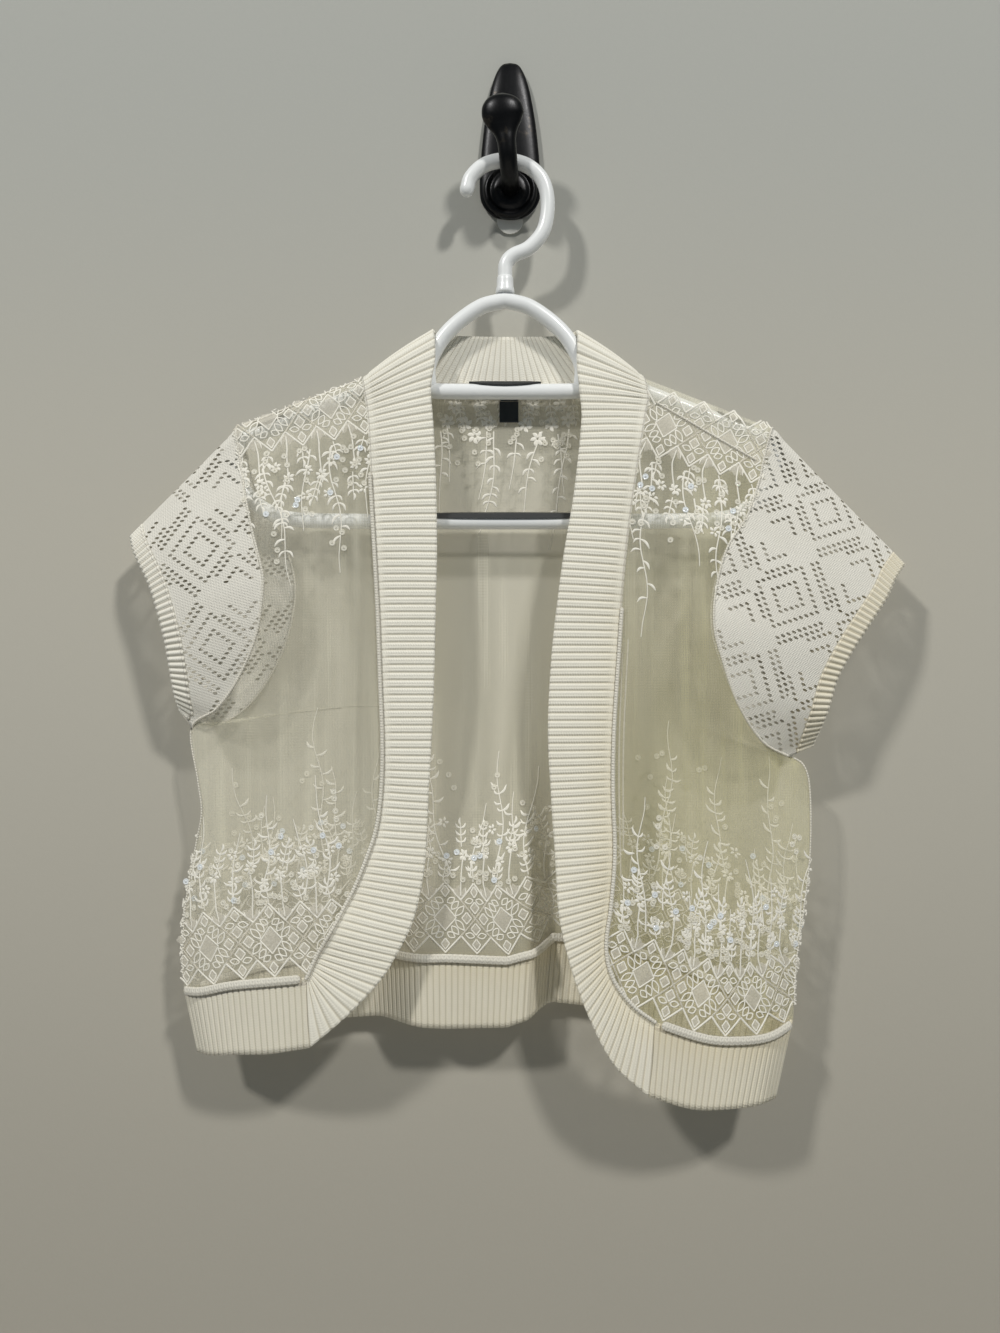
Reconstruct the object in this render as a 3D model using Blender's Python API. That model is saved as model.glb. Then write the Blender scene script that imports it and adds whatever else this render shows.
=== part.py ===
"""Sheer open-front cardigan with rib bands, hung on a tubular hanger on a wall hook.

The wall is the plane y = 0 and the origin is the middle of the wall hook's back. +X runs
to the right as the hung garment is seen, +Z up, and the garment hangs on the -Y side.
Right and left in names are the wearer's. Sizes in this script are millimetres.
"""
import bmesh
import bpy
import numpy as np

MM = 0.001
GAP = 0.28                # space left at a seam, on each side of its line
LOOSE = 0.3               # space between a resting piece and what carries it

# Cloth walls
NET_T = 1.2
KNIT_T = 1.8
RIB_T = 2.2
RIB_LIFT = 0.8            # how far a rib stands out of its band
MITRE_RUN = 5             # stations over which a band turns to its end's normal
NORMAL_RUN = 12.0         # length over which a sleeve takes up the armhole's normals
SHORT_SLEEVE = 5.0        # what the cuff leaves of the sleeve at the underarm
BAND_PITCH = 5.7          # rib spacing on the wide front bands
HEM_PITCH = 3.7           # rib spacing on hems and back neck
CUFF_PITCH = 5.0
CUFF_W = 14.0
BAND_CURL = 1.6           # crown across the width of a band

# Hanger
HANGER_X = -4.2           # middle of the hanger
HANGER_Y = -30.0          # plane of its tubes
TUBE_R = 6.0
CLOTH_R = 9.3             # outer radius of cloth that lies round a tube
QUARTER = CLOTH_R * np.pi / 2
HOOK_R = 5.6
ARM_TOP = -166.4          # height where the two arm axes would meet
ARM_FALL = 0.392          # fall of an arm for each millimetre outwards
HANG_BLEND = 45.0         # cloth leaves the tube for its own depth over this height
FAR_HANG = -44.0          # depth of back cloth that is rolled over to the front
SIDE_REACH = 60.0         # a panel takes its own depth this far in from a side edge
BACK_TOP = (-213.0, 193.0)    # x of the back's top corners

# Wall hook
STRIP_T = 1.0
PLATE_BACK = -(STRIP_T + LOOSE)
ROSE_Z = -42.0


def clear_scene():
    """Removes every object of the starting scene."""
    for item in list(bpy.data.objects):
        bpy.data.objects.remove(item)


def material(name, colour, roughness, metallic=0.0):
    """A plain Principled material."""
    mat = bpy.data.materials.new(name)
    mat.use_nodes = True
    shader = mat.node_tree.nodes["Principled BSDF"]
    shader.inputs["Base Color"].default_value = (*colour, 1.0)
    shader.inputs["Roughness"].default_value = roughness
    shader.inputs["Metallic"].default_value = metallic
    return mat


def solid(name, verts, faces, mat, smooth=40.0):
    """Adds one closed mesh, given in millimetres, with its faces turned outwards."""
    mesh = bpy.data.meshes.new(name)
    mesh.from_pydata((np.asarray(verts) * MM).tolist(), [], faces)
    work = bmesh.new()
    work.from_mesh(mesh)
    bmesh.ops.triangulate(work, faces=[f for f in work.faces if len(f.verts) > 3],
                          quad_method="SHORT_EDGE")
    bmesh.ops.recalc_face_normals(work, faces=work.faces)
    if work.calc_volume(signed=True) < 0:
        bmesh.ops.reverse_faces(work, faces=work.faces)
    work.to_mesh(mesh)
    work.free()
    mesh.shade_smooth()
    mesh.set_sharp_from_angle(angle=np.radians(smooth))
    mesh.materials.append(mat)
    item = bpy.data.objects.new(name, mesh)
    bpy.context.collection.objects.link(item)
    return item


def smooth_rows(rows, where):
    """Catmull-Rom curve through the rows, read at row numbers `where`."""
    rows = np.asarray(rows, float)
    last = len(rows) - 1
    where = np.clip(np.asarray(where, float), 0.0, last)
    ends = np.vstack([2 * rows[0] - rows[1], rows, 2 * rows[-1] - rows[-2]])
    low = np.minimum(where.astype(int), last - 1)
    t = (where - low)[:, None]
    a, b, c, d = (ends[low + k] for k in range(4))
    return 0.5 * (2 * b + (c - a) * t + (2 * a - 5 * b + 4 * c - d) * t**2
                  + (3 * b - a - 3 * c + d) * t**3)


def by_length(rows, fractions):
    """Row numbers at which the curve has run the given fractions of its length."""
    fine = np.linspace(0, len(rows) - 1, 24 * (len(rows) - 1) + 1)
    steps = np.linalg.norm(np.diff(smooth_rows(rows, fine), axis=0), axis=1)
    run = np.concatenate([[0.0], np.cumsum(steps)])
    return np.interp(np.asarray(fractions) * run[-1], run, fine)


def ramp(value, start, end):
    """Smooth step from 0 at start to 1 at end."""
    t = np.clip((value - start) / (end - start), 0.0, 1.0)
    return t * t * (3 - 2 * t)


def arm_height(x):
    """Height of the arm's axis at x."""
    return ARM_TOP - ARM_FALL * np.abs(x - HANGER_X)


def over_hanger(points, side):
    """Puts cloth points (x, hanging depth, height) over the hanger's arm.

    Below the arm's axis the height is the real one. Above it, it is a length run over
    the tube, and past the far side it comes down again. side is 1 in front, -1 behind.
    """
    x, depth, height = np.moveaxis(np.asarray(points, float), -1, 0)
    axis = arm_height(x)
    run = height - axis
    angle = np.clip(run / CLOTH_R, 0.0, np.pi)
    down = np.maximum(run - 2 * QUARTER, 0.0)
    y = HANGER_Y - side * CLOTH_R * np.cos(angle)
    z = axis + CLOTH_R * np.sin(angle) * np.hypot(1, ARM_FALL) - down
    z = np.where(run < 0, height, z)
    y = y + (depth - y) * ramp(-run, 0.0, HANG_BLEND) * (run < 0)
    y = y + (FAR_HANG - y) * ramp(down, 0.0, HANG_BLEND)
    return clear_of_hanger(np.stack([x, y, z], axis=-1))


def hanger_lines():
    """Middle lines of the top loop (closed) and of the arms with the lower bar."""
    left = [(HANGER_X - x, HANGER_Y, z) for x, z in LOOP_HALF]
    right = [(HANGER_X + x, HANGER_Y, z) for x, z in LOOP_HALF[:0:-1]]
    rows = [*left, *right, left[0]]
    loop = smooth_rows(rows, by_length(rows, np.linspace(0, 1, 39)))
    rows = [(HANGER_X - x, HANGER_Y, arm_height(HANGER_X - x) if z is None else z)
            for x, z in ARM_HALF]
    rows += [(2 * HANGER_X - x, y, z) for x, y, z in rows[-2::-1]]
    arms = smooth_rows(rows, np.linspace(0, len(rows) - 1, 39))
    return loop, arms


def to_hanger(points):
    """Vector from the nearest place on the hanger's middle lines to each point."""
    flat = np.asarray(points, float).reshape(-1, 3)
    best = np.full(len(flat), 1e9)
    away = np.zeros_like(flat)
    for line in hanger_lines():
        for a, b in zip(line[:-1], line[1:]):
            t = np.clip((flat - a) @ (b - a) / np.dot(b - a, b - a), 0, 1)
            gap = flat - a - t[:, None] * (b - a)
            size = np.linalg.norm(gap, axis=1)
            nearer = size < best
            best[nearer] = size[nearer]
            away[nearer] = gap[nearer]
    return away.reshape(np.shape(points))


def clear_of_hanger(points):
    """Moves points that are too near a tube straight out to the cloth's own radius."""
    away = to_hanger(points)
    size = np.maximum(np.linalg.norm(away, axis=-1, keepdims=True), 1e-6)
    return points + away / size * np.maximum(CLOTH_R - size, 0.0)


def normals(grid, closed=False):
    """Unit normals of a surface grid, from its neighbours along both directions."""
    if closed:
        wide = np.concatenate([grid[-1:], grid, grid[:1]])
        du = wide[2:] - wide[:-2]
    else:
        du = np.gradient(grid, axis=0)
    dv = np.gradient(grid, axis=1)
    n = np.cross(du, dv)
    return n / np.maximum(np.linalg.norm(n, axis=-1, keepdims=True), 1e-9)


def facing(grid, n, outward):
    """Turns the normals to the side that `outward` points to on the whole."""
    return n if np.sum(n * outward) > 0 else -n


def cloth_normals(grid, outward, closed=False):
    """Unit normals of cloth; where it lies round a tube they point square to the tube."""
    n = facing(grid, normals(grid, closed), outward)
    away = to_hanger(grid)
    size = np.linalg.norm(away, axis=-1, keepdims=True)
    near = size < CLOTH_R + 0.2
    side = 1.0 if np.sum(n * away * near) >= 0 else -1.0
    return np.where(near, side * away / np.maximum(size, 1e-6), n)


def inset(grid, n, low_u=0.0, high_u=0.0, low_v=0.0, high_v=0.0):
    """Draws the four edges of a grid in, square to each edge within the surface."""
    moved = grid.copy()

    def pull(edge, inner, normal, gap):
        way = np.cross(normal, np.gradient(edge, axis=0))
        way *= np.sign(np.sum(way * (inner - edge)))
        return gap * way / np.maximum(np.linalg.norm(way, axis=-1, keepdims=True), 1e-6)
    moved[0] += pull(grid[0], grid[1], n[0], low_u)
    moved[-1] += pull(grid[-1], grid[-2], n[-1], high_u)
    moved[:, 0] += pull(grid[:, 0], grid[:, 1], n[:, 0], low_v)
    moved[:, -1] += pull(grid[:, -1], grid[:, -2], n[:, -1], high_v)
    return moved


def quads(nu, nv, base, closed=False, flip=False, halves=None):
    """Quads of a grid of nu by nv points whose first point is number `base`.

    Where `halves` is given each quad is cut in two, the way it says for that cell.
    """
    faces = []
    for i in range(nu if closed else nu - 1):
        for j in range(nv - 1):
            a = base + i * nv + j
            b = base + ((i + 1) % nu) * nv + j
            if halves is None:
                cell = [(a, b, b + 1, a + 1)]
            elif halves[i, j]:
                cell = [(a, b, b + 1), (a, b + 1, a + 1)]
            else:
                cell = [(a, b, a + 1), (b, b + 1, a + 1)]
            faces += [face[::-1] for face in cell] if flip else cell
    return faces


def short_halves(grid, closed):
    """For each cell of a grid, whether its first corner's diagonal is the shorter one."""
    ahead = np.roll(grid, -1, axis=0) if closed else grid[1:]
    here = grid if closed else grid[:-1]
    one = np.linalg.norm(ahead[:, 1:] - here[:, :-1], axis=-1)
    other = np.linalg.norm(ahead[:, :-1] - here[:, 1:], axis=-1)
    return one <= other


def wall(name, outer, inner, mat, closed=False):
    """Closed wall between an outer grid and its inner grid, open ends rimmed."""
    nu, nv = outer.shape[:2]
    base = nu * nv
    halves = short_halves(outer, closed)
    faces = (quads(nu, nv, 0, closed, halves=halves)
             + quads(nu, nv, base, closed, flip=True, halves=halves))
    for i in range(nu if closed else nu - 1):
        a, b = i * nv, ((i + 1) % nu) * nv
        faces.append((a, a + base, b + base, b))
        a, b = a + nv - 1, b + nv - 1
        faces.append((a, b, b + base, a + base))
    if not closed:
        for j in range(nv - 1):
            a, b = j, (nu - 1) * nv + j
            faces.append((a, a + 1, a + 1 + base, a + base))
            faces.append((b, b + base, b + 1 + base, b + 1))
    verts = np.vstack([outer.reshape(-1, 3), inner.reshape(-1, 3)])
    return solid(name, verts, faces, mat)


def rib_wall(name, outer, inner, mat, marks, closed=False):
    """Closed wall with every station outside and only the marked ones on its plain inside.

    The rim is a fan from each inner point to the outer points near it.
    """
    nu, nv = outer.shape[:2]
    inner = inner[marks]
    ni = len(marks)
    base = nu * nv
    faces = quads(nu, nv, 0, closed) + quads(ni, nv, base, closed, flip=True)
    for k in range(ni if closed else ni - 1):
        stop = marks[k + 1] if k + 1 < ni else nu
        ring = [station % nu for station in range(marks[k], stop + 1)]
        for edge in (0, nv - 1):
            near, far = base + k * nv + edge, base + ((k + 1) % ni) * nv + edge
            out = [station * nv + edge for station in ring]
            half = (len(out) - 1) // 2
            fan = [(near, out[i], out[i + 1]) for i in range(half)]
            fan.append((near, out[half], far))
            fan += [(far, out[i], out[i + 1]) for i in range(half, len(out) - 1)]
            faces += fan if edge else [f[::-1] for f in fan]
    if not closed:
        for j in range(nv - 1):
            a, b = base + j, base + (ni - 1) * nv + j
            c, d = j, (nu - 1) * nv + j
            faces.append((c, c + 1, a + 1, a))
            faces.append((d, b, b + 1, d + 1))
    verts = np.vstack([outer.reshape(-1, 3), inner.reshape(-1, 3)])
    return solid(name, verts, faces, mat, smooth=80.0)


def tube(name, path, radii, mat, sides=10, closed=False):
    """Tube along a path of points, capped unless it is closed; radii may be pairs."""
    path = np.asarray(path, float)
    count = len(path)
    radii = np.broadcast_to(np.asarray(radii, float).reshape(-1, 1)
                            if np.ndim(radii) < 2 else radii, (count, 2))
    if closed:
        way = np.roll(path, -1, axis=0) - np.roll(path, 1, axis=0)
    else:
        way = np.gradient(path, axis=0)
    way /= np.linalg.norm(way, axis=1, keepdims=True)
    side = np.cross(way, (0.0, 1.0, 0.0))
    side /= np.linalg.norm(side, axis=1, keepdims=True)
    front = np.cross(side, way)
    turn = (np.arange(sides) + 0.5) * 2 * np.pi / sides
    ring = (path[:, None] + side[:, None] * np.cos(turn)[None, :, None] * radii[:, None, :1]
            + front[:, None] * np.sin(turn)[None, :, None] * radii[:, None, 1:])
    faces = []
    for i in range(count if closed else count - 1):
        for j in range(sides):
            k = (j + 1) % sides
            n = (i + 1) % count
            faces.append((i * sides + j, i * sides + k, n * sides + k, n * sides + j))
    if not closed:
        faces.append(tuple(range(sides))[::-1])
        faces.append(tuple((count - 1) * sides + j for j in range(sides)))
    return solid(name, ring.reshape(-1, 3), faces, mat)


def patch_at(first, last, top, bottom, u, v, fade=1):
    """Patch between two side edges, given at v, and a top and bottom edge, given at u.

    The sides are blended along u. What the top and bottom edges add to the straight
    line between their corners is faded out down the patch, by (1 - v)^fade and by v.
    The depth is blended from top to bottom instead, and drawn to the sides' own depth
    over SIDE_REACH.
    """
    body = (1 - u) * first[None] + u * last[None]
    over = top[:, None] - (1 - u) * first[0] - u * last[0]
    under = bottom[:, None] - (1 - u) * first[-1] - u * last[-1]
    patch = body + (1 - v) ** fade * over + v * under
    depth = (1 - v[..., 0]) * top[:, None, 1] + v[..., 0] * bottom[:, None, 1]
    width = np.abs(last[:, 0] - first[:, 0])
    for edge, row, away in ((first, 0, u[..., 0]), (last, -1, 1 - u[..., 0])):
        pull = (edge[:, 1] - depth[row]) * (1 - ramp(away * width, 0.0, SIDE_REACH))
        depth = depth + pull
    patch[..., 1] = depth
    return patch


# Hanger: half middle lines as distance from its middle and height; None is on the arm.
LOOP_HALF = ((0, -138), (17, -142), (33, -152), (46, -164), (54, -176), (59, -187),
             (60, -197), (57, -205.5), (49, -208.5))
ARM_HALF = ((58, None), (110, None), (160, None), (194, None), (205, -247), (210, -259),
            (208, -275), (200, -290), (186, -301), (166, -308), (110, -309.5), (0, -310))

# Cloth edges are x, hanging depth y and height. Above the arm's axis the height is a
# length over the tube, so a crest lies QUARTER above the axis.


def right_drop(x):
    """The right shoulder seam runs along the top of the arm."""
    return np.full_like(x, -QUARTER)


def left_drop(x):
    """The left shoulder seam has rolled forward, more so towards the sleeve."""
    return 7.0 + 0.2 * (x - 107.0)


RIGHT_BAND = (     # seam x, y, height, then free edge x, y, height, from the crest down
    (-115, -41, -195.2, -60, -30, -160),
    (-115, -41, -200.5, -59, -35, -165),
    (-114, -41, -206, -58, -38.5, -173),
    (-113, -41, -213, -58, -41, -188),
    (-111, -42, -224, -61, -42, -210),
    (-109, -43, -245, -59, -43, -237),
    (-107, -44, -282, -57, -45, -279),
    (-104, -45.5, -330, -56, -47, -330),
    (-101, -47, -382, -57, -49, -382),
    (-99, -48.5, -433, -58, -51, -433),
    (-97, -50.5, -482, -60, -53, -482),
    (-98, -51, -518, -62, -54, -520),
    (-101.5, -52, -545, -63, -55.5, -547),
    (-109, -53.5, -568, -64.5, -57, -572),
    (-118, -55, -590, -69, -59, -598),
    (-127, -56, -606, -75, -61, -618),
    (-138, -57, -627, -86, -62, -639),
    (-146, -57.5, -641, -96, -63, -655),
    (-151, -58, -652, -119, -64, -680),
    (-153, -58, -656, -150, -62, -707))
RIGHT_ARMHOLE = (  # front armhole, below the shoulder
    (-206, -44, -272), (-198, -50, -311), (-188, -54, -349), (-187, -55, -366),
    (-192, -54, -398), (-206, -50, -430), (-224, -45, -454), (-247, -33, -470))
RIGHT_SIDE = (
    (-247, -33, -470), (-242, -33, -510), (-239, -33, -535), (-243, -33, -559),
    (-251, -34, -606), (-253, -34, -641), (-253, -34, -672))
RIGHT_HEM = (
    (-153, -58, -656), (-181, -57, -659), (-210, -53, -663), (-236, -45, -670),
    (-253, -34, -672))
RIGHT_HEM_FREE = (
    (-150, -62, -707), (-180, -61, -712), (-207, -57, -714), (-227, -48, -718),
    (-242, -35, -720))
RIGHT_BACK_ARMHOLE = (
    (-200, -18, -285), (-184, -14, -315), (-172, -12, -352), (-174, -12, -385),
    (-186, -12, -420), (-207, -14, -452), (-230, -21, -468), (-247, -32, -470))
RIGHT_CUFF = (     # rim of the sleeve: tip, front, underarm
    (-296, -30, -321), (-289, -41, -336), (-276, -47, -360), (-269, -49, -380),
    (-263, -49, -403), (-260, -46, -425), (-258, -41, -444), (-256, -32, -458))
RIGHT_CUFF_BACK = (
    (-296, -30, -321), (-288, -17, -335), (-276, -13, -358), (-269, -12, -378),
    (-263, -12, -400), (-260, -14, -422), (-258, -20, -442), (-256, -32, -458))

CREST_RIGHT = np.array((-ARM_FALL, 0, 1)) / np.hypot(1, ARM_FALL)
BAND_CREST = np.array((0.57, 0, 0.82))     # outward at the top of the left band
LEFT_BAND = (
    (102.5, -40, -193.6, 50, -30, -162),
    (104.3, -40, -201.0, 51, -36.5, -172),
    (105.8, -40, -208.4, 51, -40, -192),
    (107, -41, -217, 53, -42, -214),
    (103, -44, -236, 54, -43, -236),
    (94, -46, -292, 48, -47, -291),
    (87, -48, -348, 39, -50, -345),
    (82, -50, -412, 31, -52, -412),
    (78, -52, -470, 28, -55, -470),
    (77, -54, -515, 30, -57, -517),
    (78, -57, -562, 33, -60, -565),
    (75, -59, -600, 36, -64, -610),
    (71, -61, -632, 45, -66, -648),
    (76, -63, -655, 58, -68, -683),
    (90, -64, -674, 76, -69, -717),
    (107, -64, -687, 102, -68, -741))
LEFT_ARMHOLE = (
    (190, -45, -280), (179, -50, -309), (163, -54, -334), (154, -56, -366),
    (152, -57, -392), (158, -56, -416), (171, -53, -450), (192, -46, -479),
    (216, -37, -492))
LEFT_SIDE = (
    (216, -37, -492), (226, -39, -500), (230, -39, -520), (230, -39, -565),
    (225, -39, -610), (219, -40, -650), (217, -40, -694))
LEFT_HEM = (
    (107, -64, -687), (142, -62, -699), (168, -60, -702), (194, -54, -701),
    (217, -40, -694))
LEFT_HEM_FREE = (
    (102, -68, -741), (134, -66, -751), (161, -64, -752), (186, -57, -752),
    (203, -43, -752))
LEFT_BACK_ARMHOLE = (
    (200, -16, -272), (184, -15, -300), (166, -13, -345), (160, -13, -385),
    (168, -13, -420), (184, -14, -455), (203, -21, -482), (216, -36, -492))
LEFT_CUFF = (
    (307, -31, -343), (295, -42, -356), (286, -48, -371), (272, -53, -390),
    (258, -56, -410), (246, -56, -432), (239, -53, -458), (233, -37, -484))
LEFT_CUFF_BACK = (
    (307, -31, -343), (294, -18, -355), (284, -14, -371), (270, -13, -390),
    (256, -14, -410), (245, -16, -432), (238, -22, -456), (233, -37, -484))

LEFT_TURN = (      # left armhole over the arm: x, length over the arm's axis in front
    (203, 14.6), (202, 9.7), (200.5, 4.8), (199, 0), (196, -12), (193, -24.2))
NECK_BAND = (      # back neck seam x and height over the arm's axis, free edge x, y, z
    (-115, 14.6, -60, -30, -160),
    (-111, 11, -59.5, -25, -160),
    (-105, 6.5, -58, -20, -161),
    (-97, 1.5, -54, -18, -162),
    (-85, -4, -48, -17, -162),
    (-50, -20, -30, -16, -162),
    (-4, -38.5, -4, -15, -162),
    (42, -20.5, 20, -15, -162),
    (78, -3.5, 38, -17, -162),
    (89, 2, 44, -19, -162),
    (96.5, 7.5, 48, -24, -162),
    (102.5, 14.6, 50, -30, -162))
LEFT_CLIMB = (     # the back's edge beside the left band: x, height over the arm's axis
    (104.3, 21.4), (105.8, 28.1), (107, 36.2))

BACK_HEM = (       # x, hanging depth, height, without the fold
    (-253, -34, -672), (-230, -20, -668), (-200, -14, -660), (-150, -12, -651),
    (-100, -12, -647), (-50, -12, -646), (-3, -12, -648), (20, -11, -642), (34, -10, -637),
    (70, -10, -640), (110, -11, -651), (150, -14, -665), (190, -24, -684), (217, -40, -694))
BACK_HEM_FREE = (
    (-242, -35, -720), (-224, -22, -716), (-196, -15, -710), (-150, -13, -702),
    (-100, -12, -699), (-50, -12, -701), (-3, -12, -700), (20, -12, -692), (34, -11, -689),
    (70, -11, -693), (108, -13, -705), (145, -17, -722), (180, -27, -743), (203, -43, -752))

# The loose fold of the back, which stands forward at the hem and dies out upwards
FOLD_DEPTH = 25.0
FOLD_TOP = -440.0
FOLD_FULL = -620.0
FOLD_RISE = (-112.0, -64.0)
FOLD_FALL = (11.0, 33.0)

SLEEVE_ROWS = (0, 0.07, 0.14, 0.24, 0.42, 0.7, 1)

# Soft folds: panel, x at top, height there, x at bottom, height there, half width, depth
SOFT_FOLDS = (
    ("front_right", -141, -360, -137, -600, 9.0, 4.5),
    ("front_right", -176, -420, -190, -600, 12.0, -3.5),
    ("front_left", 98, -380, 96, -600, 8.0, 4.0),
    ("front_left", 140, -360, 182, -520, 11.0, 4.5),
    ("front_left", 150, -470, 140, -640, 13.0, -3.5),
    ("back_panel", -150, -300, -165, -600, 16.0, 4.0),
    ("back_panel", 90, -300, 120, -600, 16.0, 4.0),
)


def back_fold(points):
    """Adds the back's loose fold to hanging points."""
    points = np.array(points, float)
    x, z = points[..., 0], points[..., 2]
    across = ramp(x, *FOLD_RISE) * (1 - ramp(x, *FOLD_FALL))
    points[..., 1] -= FOLD_DEPTH * across * ramp(-z, -FOLD_TOP, -FOLD_FULL)
    return points


def soft_folds(points, panel):
    """Adds each soft fold of the panel: a ridge of half width w along a slanting line."""
    points = np.array(points, float)
    x, z = points[..., 0], points[..., 2]
    for owner, x_top, z_top, x_low, z_low, width, depth in SOFT_FOLDS:
        if owner == panel:
            t = np.clip((z_top - z) / (z_top - z_low), 0, 1)
            line = x_top + (x_low - x_top) * t
            fade = ramp(z_top + 60 - z, 0, 90) * ramp(z - z_low + 60, 0, 60)
            points[..., 1] -= depth * fade * np.exp(-((x - line) / width) ** 2)
    return points


def front_panel(name, seam, armhole, side, hem, drop, shoulder_x):
    """Sheer front: band seam to armhole and side, shoulder to hem.

    Gives its seam-line grid and normals, the row numbers used on the band seam, and the
    number of rows down to the underarm with how far along the armhole each one is.
    """
    ends = np.array(shoulder_x, float)
    corner = (ends[1], FAR_HANG, arm_height(ends[1]) - drop(ends[1]))
    side_rows = [corner, *armhole, *side[1:]]
    v, under = armhole_rows((0.0, 0.0095, 0.019, 0.0285, 0.05), side_rows, len(armhole), 9, 9)
    u = np.linspace(0, 1, 9)
    seam_at = by_length(seam, v)
    first = smooth_rows(seam, seam_at)
    last = smooth_rows(side_rows, by_length(side_rows, v))
    x = ends[0] + (ends[1] - ends[0]) * u
    top = np.stack([x, first[0, 1] + (FAR_HANG - first[0, 1]) * u,
                    arm_height(x) - drop(x)], axis=-1)
    bottom = smooth_rows(hem, by_length(hem, u))
    flat = patch_at(first, last, top, bottom, u[:, None, None], v[None, :, None])
    outer = over_hanger(soft_folds(flat, name), 1)
    n = cloth_normals(outer, (0, -1, 0))
    n[:, -1] = level(n[:, -1])
    n[-1, under - 1:] = mitred(n[-1, under - 1:], (np.sign(ends[1]), 0, 0))
    if drop is right_drop:
        n[:, 0] = CREST_RIGHT
    return outer, n, seam_at, v[:under + 1] / v[under]


def level(n):
    """The same normals without their upward part, so that a hem's seam faces straight down."""
    flat = n * (1, 1, 0)
    return flat / np.linalg.norm(flat, axis=-1, keepdims=True)


def mitred(n, way):
    """Side-edge normals turned to `way`, the first of them only in part.

    They are lengthened so that the wall keeps its thickness up to the mitre.
    """
    way = np.array(way, float)
    out = way / np.clip(n @ way, 0.55, 1.0)[:, None]
    first = n[0] + 0.6 * way
    out[0] = first / np.linalg.norm(first)
    return out


def armhole_rows(head, rows, corner, above, below):
    """Fractions of an edge's length: head, then down to the row `corner`, then below."""
    fine = by_length(rows, np.linspace(0, 1, 2001))
    split = float(np.interp(corner, fine, np.linspace(0, 1, 2001)))
    upper = np.linspace(head[-1], split, above + 1)[1:]
    lower = np.linspace(split, 1.0, below + 1)[1:]
    return np.concatenate([head, upper, lower]), len(head) + above - 1


def back_top(x):
    """Top edge of the back: right shoulder, neckline, left shoulder rolled forward."""
    rows = np.array([row[:2] for row in NECK_BAND] + list(LEFT_CLIMB), float)
    height = np.interp(x, rows[:, 0], rows[:, 1])
    height = np.where(x < rows[0, 0], QUARTER, height)
    height = np.where(x > rows[-1, 0], 2 * QUARTER + left_drop(x), height)
    return np.stack([x, np.full_like(x, -14.0), arm_height(x) + height], axis=-1)


def back_panel():
    """Sheer back: both armholes and sides, shoulders and neckline to the hem."""
    right, left = BACK_TOP
    fixed = [row[0] for row in NECK_BAND] + [row[0] for row in LEFT_CLIMB]
    hem_x = (BACK_HEM[0][0], BACK_HEM[-1][0])
    fold = [FOLD_RISE[0], -96, -80, FOLD_RISE[1], FOLD_FALL[0], 22, FOLD_FALL[1]]
    near = np.array([(x - right) / (left - right) for x in fixed]
                    + [(x - hem_x[0]) / (hem_x[1] - hem_x[0]) for x in fold])
    even = np.array([0, 0.05, 0.11, 0.17, 0.83, 0.875, 0.935, 1.0])
    u = np.sort(np.concatenate([even, near]))
    u = u[np.concatenate([[True], np.diff(u) > 0.0008])]
    turn = [(x, -16, arm_height(x) + 2 * QUARTER - run) for x, run in LEFT_TURN[::-1]]
    crest = (right, -14, arm_height(right) + QUARTER)
    first_rows = [crest, *RIGHT_BACK_ARMHOLE, *RIGHT_SIDE[1:]]
    last_rows = [*turn, *LEFT_BACK_ARMHOLE, *LEFT_SIDE[1:]]
    head = np.arange(12) * 0.0095
    v, under = armhole_rows(head, last_rows, len(turn) + len(LEFT_BACK_ARMHOLE) - 1, 6, 6)
    v_right = v * 1.0
    right_split = armhole_rows(head, first_rows, len(RIGHT_BACK_ARMHOLE), 6, 6)[0][under]
    v_right[under:] = right_split + (v[under:] - v[under]) / (1 - v[under]) * (1 - right_split)
    v_right[:under] *= right_split / v[under]
    first = smooth_rows(first_rows, by_length(first_rows, v_right))
    last = smooth_rows(last_rows, by_length(last_rows, v))
    top = back_top(right + (left - right) * u)
    top[-1] = turn[0]
    hem = np.array(BACK_HEM, float)
    x = hem_x[0] + (hem_x[1] - hem_x[0]) * u
    bottom = np.stack([x, np.interp(x, hem[:, 0], hem[:, 1]),
                       np.interp(x, hem[:, 0], hem[:, 2])], axis=-1)
    across = u[:, None, None]
    down = ((1 - across) * v_right[None, :, None] + across * v[None, :, None])
    flat = patch_at(first, last, top, bottom, across, down, fade=3)
    flat = back_fold(soft_folds(flat, "back_panel"))
    outer = over_hanger(flat, -1)
    n = cloth_normals(outer, (0, 1, 0))
    near = np.exp(-((u[:, None] - u) * (left - right) / 4.0) ** 2)
    calm = np.einsum("ij,jkc->ikc", near, n)
    calm /= np.linalg.norm(calm, axis=-1, keepdims=True)
    loose = np.linalg.norm(to_hanger(outer), axis=-1, keepdims=True) > CLOTH_R + 0.2
    n = np.where(loose, calm, n)
    n[:, -1] = level(n[:, -1])
    n[0, under - 1:] = mitred(n[0, under - 1:], (-1, 0, 0))
    n[-1, under - 1:] = mitred(n[-1, under - 1:], (1, 0, 0))
    n[top[:, 0] < NECK_BAND[0][0] - 1, 0] = CREST_RIGHT
    start = int(np.argmin(np.abs(last[:under, 2] - (arm_height(203.0) + QUARTER))))
    return outer, n, u, under, start


def linear_rows(rows, where):
    """Straight-line reading of the rows at row numbers `where`."""
    rows = np.asarray(rows, float)
    return np.stack([np.interp(where, np.arange(len(rows)), rows[:, k]) for k in range(3)], -1)


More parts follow.
